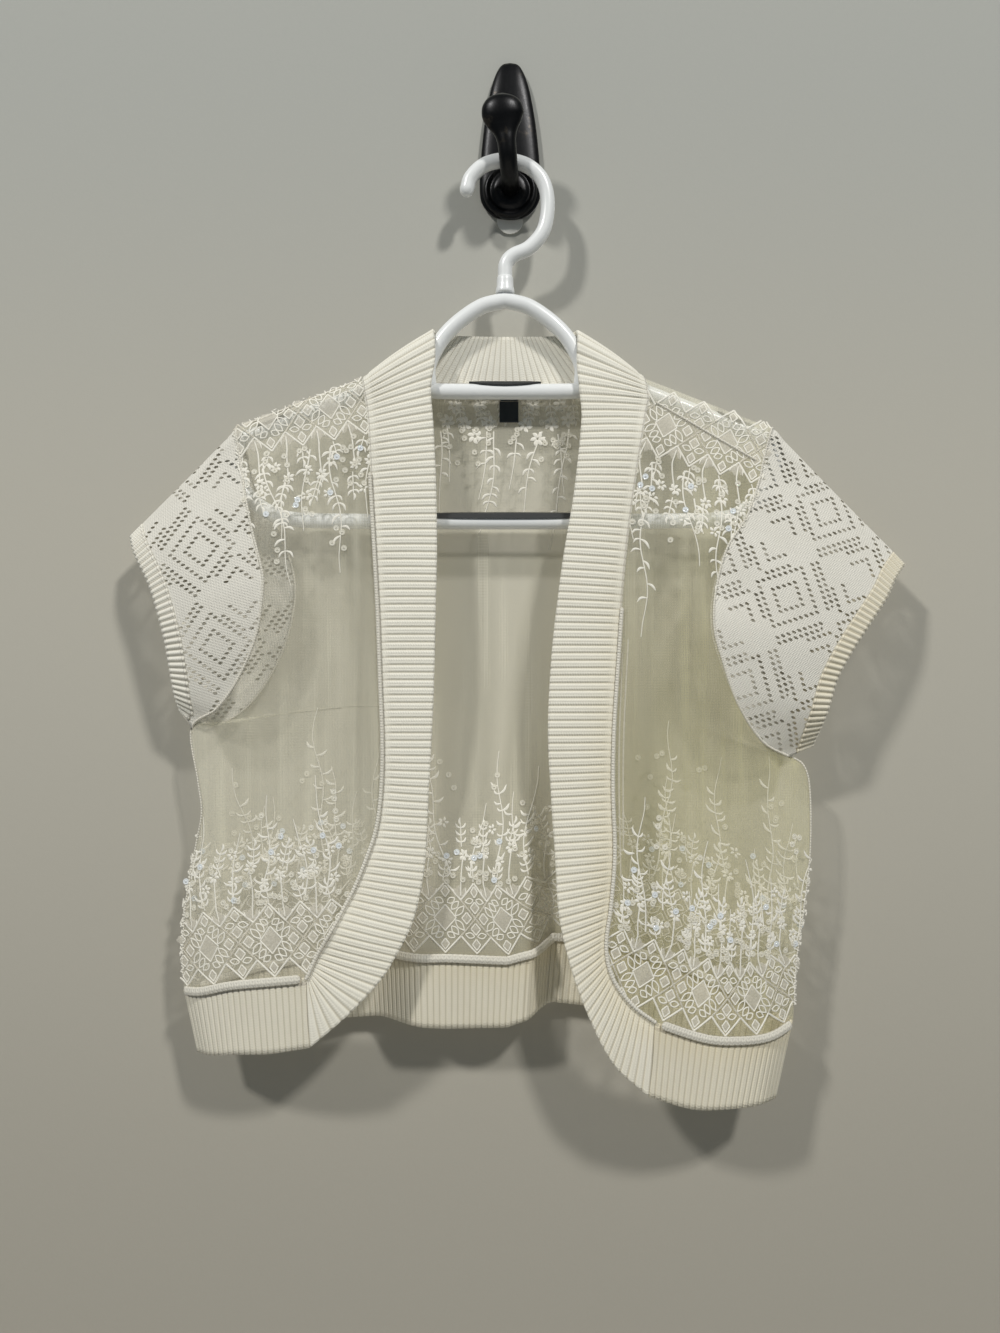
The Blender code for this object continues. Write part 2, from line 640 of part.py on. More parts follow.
def stations_for(run, knots, pitch):
    """Lengths of a band's stations, and which of them the plain side keeps.

    Each stretch between two knots gets whole pairs of ribs, or one rib when it is short,
    so that the panel's own corners always have a station of their own.
    """
    at, marks = [0.0], [0]
    for low, high in zip(run[knots[:-1]], run[knots[1:]]):
        short = high - low < 1.5 * pitch
        pairs = max(1, int(round((high - low) / (2 * pitch))))
        groups, step = (1, 2) if short else (pairs, 4)
        at += list(np.linspace(low, high, groups * step + 1)[1:])
        marks += [marks[-1] + step * (k + 1) for k in range(groups)]
    return np.array(at), marks


def band(name, seam, free, seam_n, pitch, mat, across=3, curl=BAND_CURL, on_plain=False,
         mitres=(None, None)):
    """Ribbed strip between two matching edge lines, its ribs running across it.

    Every tenth point of the lines is a knot. The ribs face the viewer. The lines lie on
    the ribbed face, or on the plain one. seam_n are the normals shared with the panel,
    and mitres those at the strip's ends.
    """
    middle = (seam + free) / 2
    run = np.concatenate([[0], np.cumsum(np.linalg.norm(np.diff(middle, axis=0), axis=1))])
    at, marks = stations_for(run, np.arange(0, len(seam), 10), pitch)
    where = np.interp(at, run, np.arange(len(seam)))
    a, b = linear_rows(seam, where), linear_rows(free, where)
    t = np.linspace(0, 1, across)[None, :, None]
    grid = a[:, None] * (1 - t) + b[:, None] * t
    n = facing(grid, normals(grid), (0, -1, 0))
    grid = clear_of_hanger(grid + n * curl * np.sin(np.pi * t))
    n = cloth_normals(grid, (0, -1, 0))
    n[:, 0] = linear_rows(seam_n, where)
    for end, mitre in zip((0, -1), mitres):
        if mitre is not None:
            for k in range(MITRE_RUN):
                row = k if end == 0 else -1 - k
                n[row] = n[row] * k / MITRE_RUN + np.array(mitre) * (1 - k / MITRE_RUN)
    n /= np.linalg.norm(n, axis=-1, keepdims=True)
    grid = inset(grid, n, GAP, GAP, 0.0, 0.0)
    ribbed = grid + n * RIB_T if on_plain else grid
    room = np.linalg.norm(to_hanger(ribbed), axis=-1, keepdims=True) - TUBE_R - LOOSE
    lift = np.minimum(RIB_LIFT * (np.arange(len(at)) % 2)[:, None, None], np.maximum(room, 0))
    rib_wall(name, ribbed + n * lift, ribbed - n * RIB_T, mat, marks)


def wide_enough(line, least):
    """Picks the points of a line so that no stretch between knots is shorter than `least`.

    Knots closer than that to the last one kept are passed over.
    """
    knots = [0]
    for k in range(10, len(line), 10):
        if np.linalg.norm(line[k] - line[knots[-1]]) >= least:
            knots.append(k)
    knots[-1] = len(line) - 1
    picked = [np.linspace(a, b, 11)[:-1] for a, b in zip(knots[:-1], knots[1:])]
    return np.round(np.concatenate([*picked, [knots[-1]]])).astype(int)


def front_band(name, table, line, line_n, rows, mitre, mat):
    """Wide front band: its seam edge follows the panels' own edge points.

    rows are the table's row numbers at those points.
    """
    steps = np.linspace(0, len(line) - 1, 10 * (len(line) - 1) + 1)
    where = np.interp(steps, np.arange(len(line)), rows)
    free = clear_of_hanger(smooth_rows(np.array(table, float)[:, 3:], where))
    band(name, linear_rows(line, steps), free, linear_rows(line_n, steps), BAND_PITCH, mat,
         mitres=(mitre, None))


def sleeve(side, start, start_n, round_s, cuff, cuff_back, knit, rib):
    """Cap sleeve and its cuff: rings blended from the armhole ring to the rim.

    The armhole ring runs from the top down the front and up the back; round_s tells how
    far down each of its points is. The cuff takes the last stretch before the rim, less
    where the underarm is short. Gives back the sleeve's grid and normals.
    """
    bottom = int(np.argmax(round_s))
    end = np.vstack([smooth_rows(cuff, by_length(cuff, round_s[:bottom + 1])),
                     smooth_rows(cuff_back, by_length(cuff_back, round_s[bottom + 1:]))])
    facing_y = np.where(np.arange(len(start)) <= bottom, -1.0, 1.0)
    length = np.linalg.norm(end - start, axis=1)
    cuff_w = np.minimum(CUFF_W, length - SHORT_SLEEVE)

    def rings(distances):
        t = distances / length[:, None]
        grid = start[:, None] + (end - start)[:, None] * t[..., None]
        puff = 5.0 * np.sin(np.pi * np.clip(t, 0, 1)) * np.sin(np.pi * round_s)[:, None]
        grid[..., 1] += puff * facing_y[:, None] * np.minimum(length / 60.0, 1)[:, None]
        return clear_of_hanger(grid)
    main = length - cuff_w
    long_enough = ramp(main, 2 * SHORT_SLEEVE, 40.0)[:, None]
    even = np.linspace(0, 1, len(SLEEVE_ROWS))[None]
    t = even + (np.array(SLEEVE_ROWS)[None] - even) * long_enough
    body = rings(main[:, None] * t)
    middle = body.mean(axis=(0, 1))
    n = cloth_normals(body, body - middle, closed=True)
    edge = rings(np.stack([main, main + cuff_w], axis=1))
    edge_n = facing(edge, normals(edge, closed=True), edge - middle)
    near = np.clip(1 - main[:, None] * t / NORMAL_RUN, 0, 1)[..., None]
    far = np.clip(1 - main[:, None] * (1 - t) / NORMAL_RUN, 0, 1)[..., None]
    own = ramp(main, SHORT_SLEEVE / 2, 4 * SHORT_SLEEVE)[:, None, None]
    n = n * own + start_n[:, None] * near + edge_n[:, :1] * far
    n /= np.linalg.norm(n, axis=-1, keepdims=True)
    edge_n[:, 0] = n[:, -1]
    longer = np.linalg.norm(start_n, axis=-1)[:, None, None] - 1
    n = n * (1 + longer * near**2)
    knitted = inset(body, n, 0.0, 0.0, GAP, GAP)
    wall(f"sleeve_{side}", knitted, knitted - n * KNIT_T, knit, closed=True)

    outline = np.vstack([edge, edge[:1]])
    normal = np.vstack([edge_n, edge_n[:1]])
    run = np.concatenate([[0], np.cumsum(np.linalg.norm(
        np.diff(outline.mean(axis=1), axis=0), axis=1))])
    stations = 4 * int(round(run[-1] / CUFF_PITCH / 2))
    at = np.linspace(0, run[-1], stations + 1)[:-1]
    grid, grid_n = (np.stack([np.stack([np.interp(at, run, part[:, j, k]) for k in range(3)], -1)
                              for j in range(2)], axis=1) for part in (outline, normal))
    grid_n /= np.linalg.norm(grid_n, axis=-1, keepdims=True)
    grid = inset(grid, grid_n, 0.0, 0.0, GAP, 0.0)
    ribs = RIB_LIFT * (np.arange(stations) % 2)[:, None, None]
    rib_wall(f"cuff_{side}", grid + grid_n * ribs, grid - grid_n * RIB_T, rib,
             list(range(0, stations, 4)), closed=True)
    return n[:, 0]


def join_sleeve(side, front, front_n, front_s, back, back_n, under, crest, cuff, cuff_back,
                knit, rib):
    """Runs a sleeve from the front's and the back's own armhole points.

    The back's points above number `crest` already lie in front, beside the sleeve's
    first stretch. The normals of all three are made the same along the seam.
    """
    count = len(front_s)
    over = back[crest:0:-1] if crest else back[:0]
    over_n = back_n[crest:0:-1] if crest else back_n[:0]
    down, down_n = front[-1, :count], front_n[-1, :count]
    up, up_n = back[under - 1:crest:-1], back_n[under - 1:crest:-1]
    ring = np.vstack([over, down, up])
    ring_n = np.vstack([over_n, down_n, up_n])
    bottom = len(over) + count - 1
    s = []
    for part in (ring[:bottom + 1], np.vstack([ring[:1], up[::-1], ring[bottom:bottom + 1]])):
        run = np.concatenate([[0], np.cumsum(np.linalg.norm(np.diff(part, axis=0), axis=1))])
        s.append(run / run[-1])
    round_s = np.concatenate([s[0], s[1][1:-1][::-1]])
    n = sleeve(side, ring, ring_n, round_s, cuff, cuff_back, knit, rib)
    if crest:
        back_n[crest:0:-1] = n[:len(over)]
    front_n[-1, :count] = n[len(over):bottom + 1]
    back_n[under - 1:crest:-1] = n[bottom + 1:]
    back_n[under] = n[bottom]
    back_n[crest] = n[0]


def rolled_seam(name, edge, n, mat, lift=RIB_LIFT, half_width=3.2, half_depth=1.7, trim=1):
    """Rolled seam that lies on a panel's edge, on the side the normals point to."""
    path = (edge + n * (half_depth + LOOSE + lift))[trim:len(edge) - trim]
    tube(name, path, np.full((len(path), 2), (half_width, half_depth)), mat, sides=6)


def hanger(plastic, rubber):
    """Hanger: closed top loop with its bar, arms with a lower bar, hook and inlays."""
    loop_line, arm_line = hanger_lines()
    loop = tube("hanger_body", loop_line[:-1], TUBE_R, plastic, sides=10, closed=True)
    radii = np.full((len(arm_line), 2), TUBE_R - 0.1)
    radii[[0, -1]] = 4.5
    arms = tube("arms", arm_line, radii, plastic, sides=10)
    arms.hide_render = True
    arms.display_type = "WIRE"
    union = loop.modifiers.new("join", "BOOLEAN")
    union.operation = "UNION"
    union.object = arms

    hook_rows = ((-34, -51), (-31, -42), (-22, -33), (-11, -29), (0, -28.7), (14, -33),
                 (25, -44), (29, -61), (26, -82), (15, -96), (2, -102.5), (-3.5, -109),
                 (-4.2, -118), (-4.2, -132))
    rows = [(x, HANGER_Y + 1, z) for x, z in hook_rows]
    path = smooth_rows(rows, np.linspace(0, len(rows) - 1, 30))
    radii = np.full((30, 2), HOOK_R)
    radii[-3:-1] = 6.4
    radii[-1] = 7.5
    tube("hanger_hook", path, radii, plastic, sides=10)
    level = np.array((1.0, 0.0, 0.0))
    saddle("bar_inlay_upper", (HANGER_X, HANGER_Y, -208.5), level, 28, (20, 62), 1.4, rubber)
    saddle("bar_inlay_lower", (HANGER_X, HANGER_Y, -310), level, 53, (72, 76), 1.0, rubber)
    for name, x, sign in (("arm_inlay_right", -181.0, 1), ("arm_inlay_left", 172.6, -1)):
        slope = np.array((1.0, 0.0, sign * ARM_FALL)) / np.hypot(1, ARM_FALL)
        saddle(name, (x, HANGER_Y, arm_height(x)), slope, 15, (40, 60), 0.4, rubber)


def saddle(name, middle, along, half_length, spread, thick, mat):
    """Grip strip lying over the top of a tube, crowned along its length.

    spread is the half angle it covers at its ends and at its middle.
    """
    up = np.array((-along[2], 0.0, along[0]))
    inner_r = TUBE_R + 0.5
    rings = []
    for t in np.linspace(-1, 1, 7):
        crown = np.sqrt(max(1 - t * t, 0.0))
        half = np.radians(spread[0] + (spread[1] - spread[0]) * crown)
        outer_r = inner_r + thick * (0.6 + 0.4 * crown)
        turn = np.linspace(-half, half, 5)
        arc = [(outer_r, a) for a in turn] + [(inner_r, a) for a in turn[::-1]]
        rings.append([np.array(middle) + along * half_length * t
                      + up * r * np.cos(a) + np.array((0, 1.0, 0)) * r * np.sin(a)
                      for r, a in arc])
    ring = np.array(rings)
    rows, count = ring.shape[:2]
    faces = [tuple(range(count)), tuple((rows - 1) * count + j for j in reversed(range(count)))]
    for i in range(rows - 1):
        for j in range(count):
            k = (j + 1) % count
            faces.append((i * count + j, i * count + k, (i + 1) * count + k, (i + 1) * count + j))
    solid(name, ring.reshape(-1, 3), faces, mat)


def labels(mat):
    """Neck label and the size tab below it, flat in front of the back's neck seam."""
    low, front, back = -229.5, -17.4, -16.4
    for name, x0, x1, z0, z1 in (("neck_label", -8, 6, -212.6, -208.7),
                                 ("size_tab", -8.5, 6.5, low, -213.1)):
        box = np.array([(x, y, z) for x in (x0, x1) for y in (front, back) for z in (z0, z1)])
        faces = [(0, 1, 3, 2), (4, 6, 7, 5), (0, 4, 5, 1), (2, 3, 7, 6), (0, 2, 6, 4), (1, 5, 7, 3)]
        solid(name, box, faces, mat)


PLATE_OUTLINE = (    # z, half width, from the top down
    (62.5, 5.0), (58, 9.0), (50, 12.8), (37, 16.4), (15, 20.3), (-9, 23.0), (-28, 24.3),
    (-42, 24.3), (-50, 22.5), (-57, 17.5), (-61, 11.5), (-62.5, 5.0))


def wall_hook(black, clear):
    """Adhesive strip, arched plate with its round rose, and the arm with its knob."""
    rows = np.array(PLATE_OUTLINE)
    outline = np.vstack([rows[:, ::-1], (rows * (1, -1))[::-1, ::-1]])
    middle = np.array([0.0, ROSE_Z + 20])
    rings = []
    for y, scale in ((PLATE_BACK, 1.0), (-4.0, 1.0), (-6.2, 0.9), (-7.6, 0.7), (-8.2, 0.4)):
        flat = middle + (outline - middle) * scale
        rings.append(np.column_stack([flat[:, 0], np.full(len(flat), y), flat[:, 1]]))
    ring = np.array(rings)
    count = ring.shape[1]
    faces = [tuple(range(count)), tuple((len(rings) - 1) * count + j
                                        for j in reversed(range(count)))]
    for i in range(len(rings) - 1):
        for j in range(count):
            k = (j + 1) % count
            faces.append((i * count + j, i * count + k, (i + 1) * count + k, (i + 1) * count + j))
    plate = solid("wall_hook_plate", ring.reshape(-1, 3), faces, black)

    profile = ((21.6, -3.0), (21.6, -8.5), (19.0, -10.8), (16.0, -9.2), (14.0, -11.2),
               (11.0, -12.6), (8.0, -12.6))
    turn = np.arange(22) * 2 * np.pi / 22
    disc = np.array([[(r * np.cos(a), y, ROSE_Z + r * np.sin(a)) for a in turn]
                     for r, y in profile])
    count = len(turn)
    faces = [tuple(range(count)), tuple((len(profile) - 1) * count + j
                                        for j in reversed(range(count)))]
    for i in range(len(profile) - 1):
        for j in range(count):
            k = (j + 1) % count
            faces.append((i * count + j, i * count + k, (i + 1) * count + k, (i + 1) * count + j))
    rose = solid("rose", disc.reshape(-1, 3), faces, black)
    rose.hide_render = True
    rose.display_type = "WIRE"
    union = plate.modifiers.new("rose", "BOOLEAN")
    union.operation = "UNION"
    union.object = rose

    arm_rows = (     # x, y, z, half width, half thickness
        (0, -13.0, -41, 7.6, 6.8), (0, -20, -41, 7.0, 6.6), (-0.5, -29, -41.2, 6.9, 6.6),
        (-1, -37, -39, 6.9, 6.6), (-2, -43, -32, 7.0, 6.4), (-3, -45.5, -23, 7.2, 6.0),
        (-4, -46.5, -16, 9.0, 5.6), (-5, -47.2, -10, 13.0, 6.2), (-6, -47.8, -3, 16.0, 7.6),
        (-6, -48.2, 4, 15.0, 7.4), (-6, -48.5, 9, 11.0, 5.6), (-6, -48.7, 12, 5.0, 2.6))
    table = np.array(arm_rows, float)
    dense = smooth_rows(table, np.linspace(0, len(table) - 1, 21))
    sweep_in_plane("wall_hook_arm", dense[:, :3], dense[:, 3:], black)

    half, top, turn_z = 10.4, 30.0, -63.0
    arc = np.radians(np.linspace(0, -180, 13))
    flat = np.array([(half, top), *[(half * np.cos(a), turn_z + half * np.sin(a)) for a in arc],
                     (-half, top)])
    count = len(flat)
    verts = np.vstack([np.column_stack([flat[:, 0], np.full(count, y), flat[:, 1]])
                       for y in (0.0, -STRIP_T)])
    faces = [tuple(range(count)), tuple(count + j for j in reversed(range(count)))]
    for j in range(count):
        k = (j + 1) % count
        faces.append((j, k, count + k, count + j))
    solid("adhesive_strip", verts, faces, clear)


def sweep_in_plane(name, path, radii, mat, sides=12):
    """Oval rod whose path lies near the middle plane: radii are across X and in plane."""
    way = np.gradient(path, axis=0)
    way /= np.linalg.norm(way, axis=1, keepdims=True)
    side = np.tile((1.0, 0.0, 0.0), (len(path), 1))
    side -= way * np.sum(side * way, axis=1, keepdims=True)
    side /= np.linalg.norm(side, axis=1, keepdims=True)
    other = np.cross(way, side)
    turn = (np.arange(sides) + 0.5) * 2 * np.pi / sides
    ring = (path[:, None] + side[:, None] * np.cos(turn)[None, :, None] * radii[:, None, :1]
            + other[:, None] * np.sin(turn)[None, :, None] * radii[:, None, 1:])
    count = len(path)
    faces = [tuple(range(sides))[::-1], tuple((count - 1) * sides + j for j in range(sides))]
    for i in range(count - 1):
        for j in range(sides):
            k = (j + 1) % sides
            faces.append((i * sides + j, i * sides + k, (i + 1) * sides + k, (i + 1) * sides + j))
    solid(name, ring.reshape(-1, 3), faces, mat)


def main():
    clear_scene()
    net = material("net", (0.80, 0.76, 0.64), 0.8)
    knit = material("knit", (0.83, 0.80, 0.70), 0.9)
    rib = material("rib", (0.82, 0.78, 0.66), 0.9)
    black_cloth = material("label", (0.02, 0.03, 0.03), 0.7)
    plastic = material("hanger", (0.88, 0.88, 0.88), 0.25)
    rubber = material("rubber", (0.03, 0.03, 0.03), 0.7)
    metal = material("wall_hook", (0.03, 0.03, 0.035), 0.3, 0.8)
    clear = material("adhesive", (0.8, 0.8, 0.78), 0.2)

    right_seam = [row[:3] for row in RIGHT_BAND]
    left_seam = [row[:3] for row in LEFT_BAND[3:]]
    right, right_n, right_at, right_s = front_panel(
        "front_right", right_seam, RIGHT_ARMHOLE, RIGHT_SIDE, RIGHT_HEM, right_drop, (-115, -213))
    left, left_n, left_at, left_s = front_panel(
        "front_left", left_seam, LEFT_ARMHOLE, LEFT_SIDE, LEFT_HEM, left_drop, (107, 193))
    back, back_n, back_u, under, crest = back_panel()

    join_sleeve("right", right, right_n, right_s, back[0], back_n[0], under, 0,
                RIGHT_CUFF, RIGHT_CUFF_BACK, knit, rib)
    join_sleeve("left", left, left_n, left_s, back[-1], back_n[-1], under, crest,
                LEFT_CUFF, LEFT_CUFF_BACK, knit, rib)
    for name, grid, n in (("front_right", right, right_n), ("front_left", left, left_n),
                          ("back_panel", back, back_n)):
        body = inset(grid, n, GAP, GAP, GAP, GAP)
        wall(name, body, body - n * NET_T, net)
    columns = BACK_TOP[0] + (BACK_TOP[1] - BACK_TOP[0]) * back_u
    start = int(np.argmin(np.abs(columns - NECK_BAND[0][0])))
    stop = int(np.argmin(np.abs(columns - NECK_BAND[-1][0])))
    front_band("band_right", RIGHT_BAND, right[0], right_n[0], right_at,
               BAND_CREST * (-1, 1, 1), rib)
    front_band("band_left", LEFT_BAND, np.vstack([back[stop:stop + 3, 0], left[0]]),
               np.vstack([back_n[stop:stop + 3, 0], left_n[0]]),
               np.concatenate([[0, 1, 2], left_at + 3]), BAND_CREST, rib)

    line, line_n = back[start:stop + 1, 0], back_n[start:stop + 1, 0]
    steps = np.linspace(0, len(line) - 1, 10 * (len(line) - 1) + 1)
    known = np.array(NECK_BAND, float)
    seam_x = np.interp(steps, np.arange(len(line)), columns[start:stop + 1])
    free = smooth_rows(known[:, 2:], np.interp(seam_x, known[:, 0], np.arange(len(known))))
    band("band_neck", linear_rows(line, steps), free, -linear_rows(line_n, steps), HEM_PITCH,
         rib, curl=0.0, on_plain=True, mitres=(-BAND_CREST * (-1, 1, 1), -BAND_CREST))

    for name, outer, n, free_rows, sign in (
            ("hem_right", right, right_n, RIGHT_HEM_FREE, -1),
            ("hem_left", left, left_n, LEFT_HEM_FREE, 1)):
        last = len(outer) - 1
        steps = np.linspace(0, last, 10 * last + 1)
        band(name, linear_rows(outer[:, -1], steps),
             smooth_rows(free_rows, by_length(free_rows, steps / last)),
             linear_rows(n[:, -1], steps), HEM_PITCH, rib, across=2, curl=0.0,
             mitres=(None, (sign, 0, 0)))
    last = len(back_u) - 1
    steps = np.linspace(0, last, 10 * last + 1)
    low = np.array(BACK_HEM_FREE, float)
    x = low[0, 0] + np.ptp(low[:, 0]) * np.interp(steps, np.arange(last + 1), back_u)
    free = np.stack([x, np.interp(x, low[:, 0], low[:, 1]), np.interp(x, low[:, 0], low[:, 2])], -1)
    seam = linear_rows(back[:, -1], steps)
    hem = np.array(BACK_HEM, float)
    free[:, 1] += seam[:, 1] - np.interp(seam[:, 0], hem[:, 0], hem[:, 1])
    keep = wide_enough(seam, 6.0)
    band("hem_back", seam[keep], free[keep], -linear_rows(back_n[:, -1], steps)[keep], HEM_PITCH,
         rib, across=2, curl=0.0, on_plain=True, mitres=((1, 0, 0), (-1, 0, 0)))

    rolled_seam("rolled_seam_right", right[:, -1], right_n[:, -1], rib)
    rolled_seam("rolled_seam_left", left[:, -1], left_n[:, -1], rib)
    rolled_seam("rolled_seam_back", back[:, -1], -back_n[:, -1], rib, lift=RIB_T + RIB_LIFT)
    near = np.abs(line[:, 0] - HANGER_X) < 54
    rolled_seam("rolled_seam_neck", line[near], -line_n[near], rib, lift=RIB_T + RIB_LIFT,
                half_width=2.2, half_depth=1.2, trim=0)
    hanger(plastic, rubber)
    labels(black_cloth)
    wall_hook(metal, clear)


main()
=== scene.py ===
"""Looks of the sheer open-front cardigan on its hanger and wall hook.

Works in millimetres in the part's frame: the wall is y = 0, +X is right as the hung
garment is seen and +Z is up. Right and left in names are the wearer's. The garment's
surfaces follow the same edge tables as the part.
"""

import bpy
import numpy as np
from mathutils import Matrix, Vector

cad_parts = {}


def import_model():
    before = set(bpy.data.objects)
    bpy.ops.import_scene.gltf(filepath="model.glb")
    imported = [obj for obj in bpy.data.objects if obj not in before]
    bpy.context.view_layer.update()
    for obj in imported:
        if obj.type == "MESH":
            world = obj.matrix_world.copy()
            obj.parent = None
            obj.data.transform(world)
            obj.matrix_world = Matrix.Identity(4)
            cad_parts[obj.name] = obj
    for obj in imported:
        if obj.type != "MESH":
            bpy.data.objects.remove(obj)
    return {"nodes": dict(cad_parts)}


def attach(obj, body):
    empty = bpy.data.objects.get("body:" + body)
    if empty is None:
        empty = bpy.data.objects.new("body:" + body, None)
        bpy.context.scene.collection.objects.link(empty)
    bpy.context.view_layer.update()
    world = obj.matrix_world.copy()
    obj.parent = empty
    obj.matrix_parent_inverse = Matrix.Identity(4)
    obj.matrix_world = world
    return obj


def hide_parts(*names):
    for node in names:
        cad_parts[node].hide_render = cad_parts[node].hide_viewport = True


MM = 0.001
FINE = 8                  # grid cells here for each cell of the part's own grids
FRONT = (0, -1, 0)        # towards the viewer

# Knitted pieces
RIB_T = 2.2               # thickness of the ribbed pieces
BAND_PITCH = 5.7          # rib spacing on the wide front bands
HEM_PITCH = 4.7           # the same on the hems and the back neck
CUFF_PITCH = 4.6          # the same on the cuffs
BAND_LIFT = 1.1           # how far a rib stands out of a wide band
HEM_LIFT = 0.8            # the same for a hem
NECK_LIFT = 0.55          # the same for the neck band
CUFF_LIFT = 1.1           # the same for a cuff
RIB_STEPS = 12            # points over one rib
CUFF_STEPS = 8            # the same on a cuff
BAND_CURL = 1.6           # crown across the width of a band
SELVEDGE = 7.0            # width of a band's flatter edge beside its seam
CUFF_W = 14.0             # width of a cuff
SHORT_SLEEVE = 5.0        # what the cuff leaves of the sleeve at the underarm
SLEEVE_PUFF = 5.0         # how far the sleeve swells out between armhole and cuff

# Rolled edges and seams: half width along the cloth and half height out of it
HEM_ROLL = (3.4, 1.7)
NECK_ROLL = (2.2, 1.2)
BAND_SEAM = (1.5, 1.3)
SIDE_SEAM = (0.6, 0.6)
SHOULDER_SEAM = (0.9, 0.9)
ARMHOLE_SEAM = 0.95
EDGE_LIFT = 0.8           # a rolled edge lies this far over the cloth or band under it
BAND_SEAM_LIFT = 0.9
SEAM_LIFT = 0.1
STITCH_RUN = 4.2          # length of one plump stitch of a rolled edge
NECK_HALF = 54            # the neck's rolled edge reaches this far to both sides

# Patterns of the materials, in metres
NET_WAVE = 2 * np.pi / 0.0024     # the net's mesh, as a wave over u and v
REPEAT = 0.0747           # pointelle, from one diamond to the next
TALL = 0.0685             # pointelle, from one row of diamonds to the next
HOLE_STEP = 0.006223      # two diagonal steps of one hole make this much along u or v
SEAM_SHADE = 0.0016       # distance from a plain seam to its shade on the ribs
ROLL_SHADE = 0.0045       # the same beside a rolled edge

# Hanger
HANGER_X = -4.2           # middle of the hanger
HANGER_Y = -30.0          # plane of its tubes
TUBE_R = 6.0
CLOTH_R = 9.3             # outer radius of cloth that lies round a tube
QUARTER = CLOTH_R * np.pi / 2
HOOK_R = 5.6
ARM_TOP = -166.4          # height where the two arm axes would meet
ARM_FALL = 0.392          # fall of an arm for each millimetre outwards
HANG_BLEND = 45.0         # cloth leaves the tube for its own depth over this height
FAR_HANG = -44.0          # depth of back cloth that is rolled over to the front
SIDE_REACH = 60.0         # a panel takes its own depth this far in from a side edge
BEHIND = -14.0            # depth of the back's top edge
CREST_STEP = 0.0095       # share of an edge between two rows that run over the arm
BACK_TOP = (-213.0, 193.0)    # x of the back's top corners

# Wall hook
PLATE_BACK = -1.3         # the plate's back, on its adhesive strip
ROSE_Z = -42.0            # height of the round rose's middle

# The room: wall and floor in millimetres, lamps and camera in metres
WALL_Y = 1.0
ROOM_SIDE = 1600
WALL_TOP = 900
FLOOR_Z = -1500
FLOOR_FRONT = -1800
LAMPS = (                 # name, size, power in watts, place, colour
    ("light_left", 0.35, 88.0, (-2.2, -2.6, 2.35), (1.0, 0.985, 0.95)),
    ("light_right", 0.35, 92.0, (1.6, -2.7, 2.45), (1.0, 0.985, 0.95)),
    ("light_behind", 1.5, 20.0, (0.8, 3.0, 0.9), (1.0, 0.99, 0.97)))
LAMP_AIM = (0.0, 0.0, -0.4)
ROOM_COLOUR = (0.72, 0.88, 1.0, 1)
ROOM_POWER = 0.135
CAMERA_AT = (-0.0081, -0.809, -0.4226)
LENS = 27.04              # focal length in millimetres


def smooth_rows(rows, where):
    """Catmull-Rom curve through the rows, read at row numbers `where`."""
    rows = np.asarray(rows, float)
    last = len(rows) - 1
    where = np.clip(np.asarray(where, float), 0.0, last)
    ends = np.vstack([2 * rows[0] - rows[1], rows, 2 * rows[-1] - rows[-2]])
    low = np.minimum(where.astype(int), last - 1)
    t = (where - low)[:, None]
    a, b, c, d = (ends[low + k] for k in range(4))
    return 0.5 * (2 * b + (c - a) * t + (2 * a - 5 * b + 4 * c - d) * t**2
                  + (3 * b - a - 3 * c + d) * t**3)


def between(count, parts):
    """Row numbers from the first to the last of `count` rows, in `parts` steps for each."""
    return np.linspace(0, count - 1, (count - 1) * parts + 1)


def by_length(rows, fractions):
    """Row numbers at which the curve has run the given fractions of its length."""
    fine = between(len(rows), 24)
    run = lengths(smooth_rows(rows, fine))
    return np.interp(np.asarray(fractions) * run[-1], run, fine)


def linear_rows(rows, where, known=None):
    """Straight-line reading at `where` of rows known at `known`, or else at 0, 1, 2 ..."""
    rows = np.asarray(rows, float)
    known = np.arange(len(rows)) if known is None else known
    return np.stack([np.interp(where, known, column) for column in rows.T], -1)


def edge_at(table, x):
    """Points of an edge table at the places x along its first column."""
    table = np.asarray(table, float)
    return np.column_stack([x, linear_rows(table[:, 1:], x, table[:, 0])])


def finer(values):
    """Values read in between, FINE steps to each step of the list."""
    return np.interp(between(len(values), FINE), np.arange(len(values)), values)


def lengths(line):
    """Length run at each point of a line."""
    return np.concatenate([[0], np.cumsum(np.linalg.norm(np.diff(line, axis=0), axis=1))])


def unit(vectors):
    """Each vector divided by its own length."""
    return vectors / np.maximum(np.linalg.norm(vectors, axis=-1, keepdims=True), 1e-9)


def ramp(value, start, end):
    """Smooth step from 0 at start to 1 at end."""
    t = np.clip((value - start) / (end - start), 0.0, 1.0)
    return t * t * (3 - 2 * t)


def arm_height(x):
    """Height of the arm's axis at x."""
    return ARM_TOP - ARM_FALL * np.abs(x - HANGER_X)


def over_hanger(points, side):
    """Puts cloth points (x, hanging depth, height) over the hanger's arm.

    Below the arm's axis the height is the real one. Above it, it is a length run over
    the tube, and past the far side it comes down again. side is 1 in front, -1 behind.
    """
    x, depth, height = np.moveaxis(np.asarray(points, float), -1, 0)
    axis = arm_height(x)
    run = height - axis
    angle = np.clip(run / CLOTH_R, 0.0, np.pi)
    down = np.maximum(run - 2 * QUARTER, 0.0)
    y = HANGER_Y - side * CLOTH_R * np.cos(angle)
    z = axis + CLOTH_R * np.sin(angle) * np.hypot(1, ARM_FALL) - down
    z = np.where(run < 0, height, z)
    y = y + (depth - y) * ramp(-run, 0.0, HANG_BLEND) * (run < 0)
    y = y + (FAR_HANG - y) * ramp(down, 0.0, HANG_BLEND)
    return clear_of_hanger(np.stack([x, y, z], axis=-1))


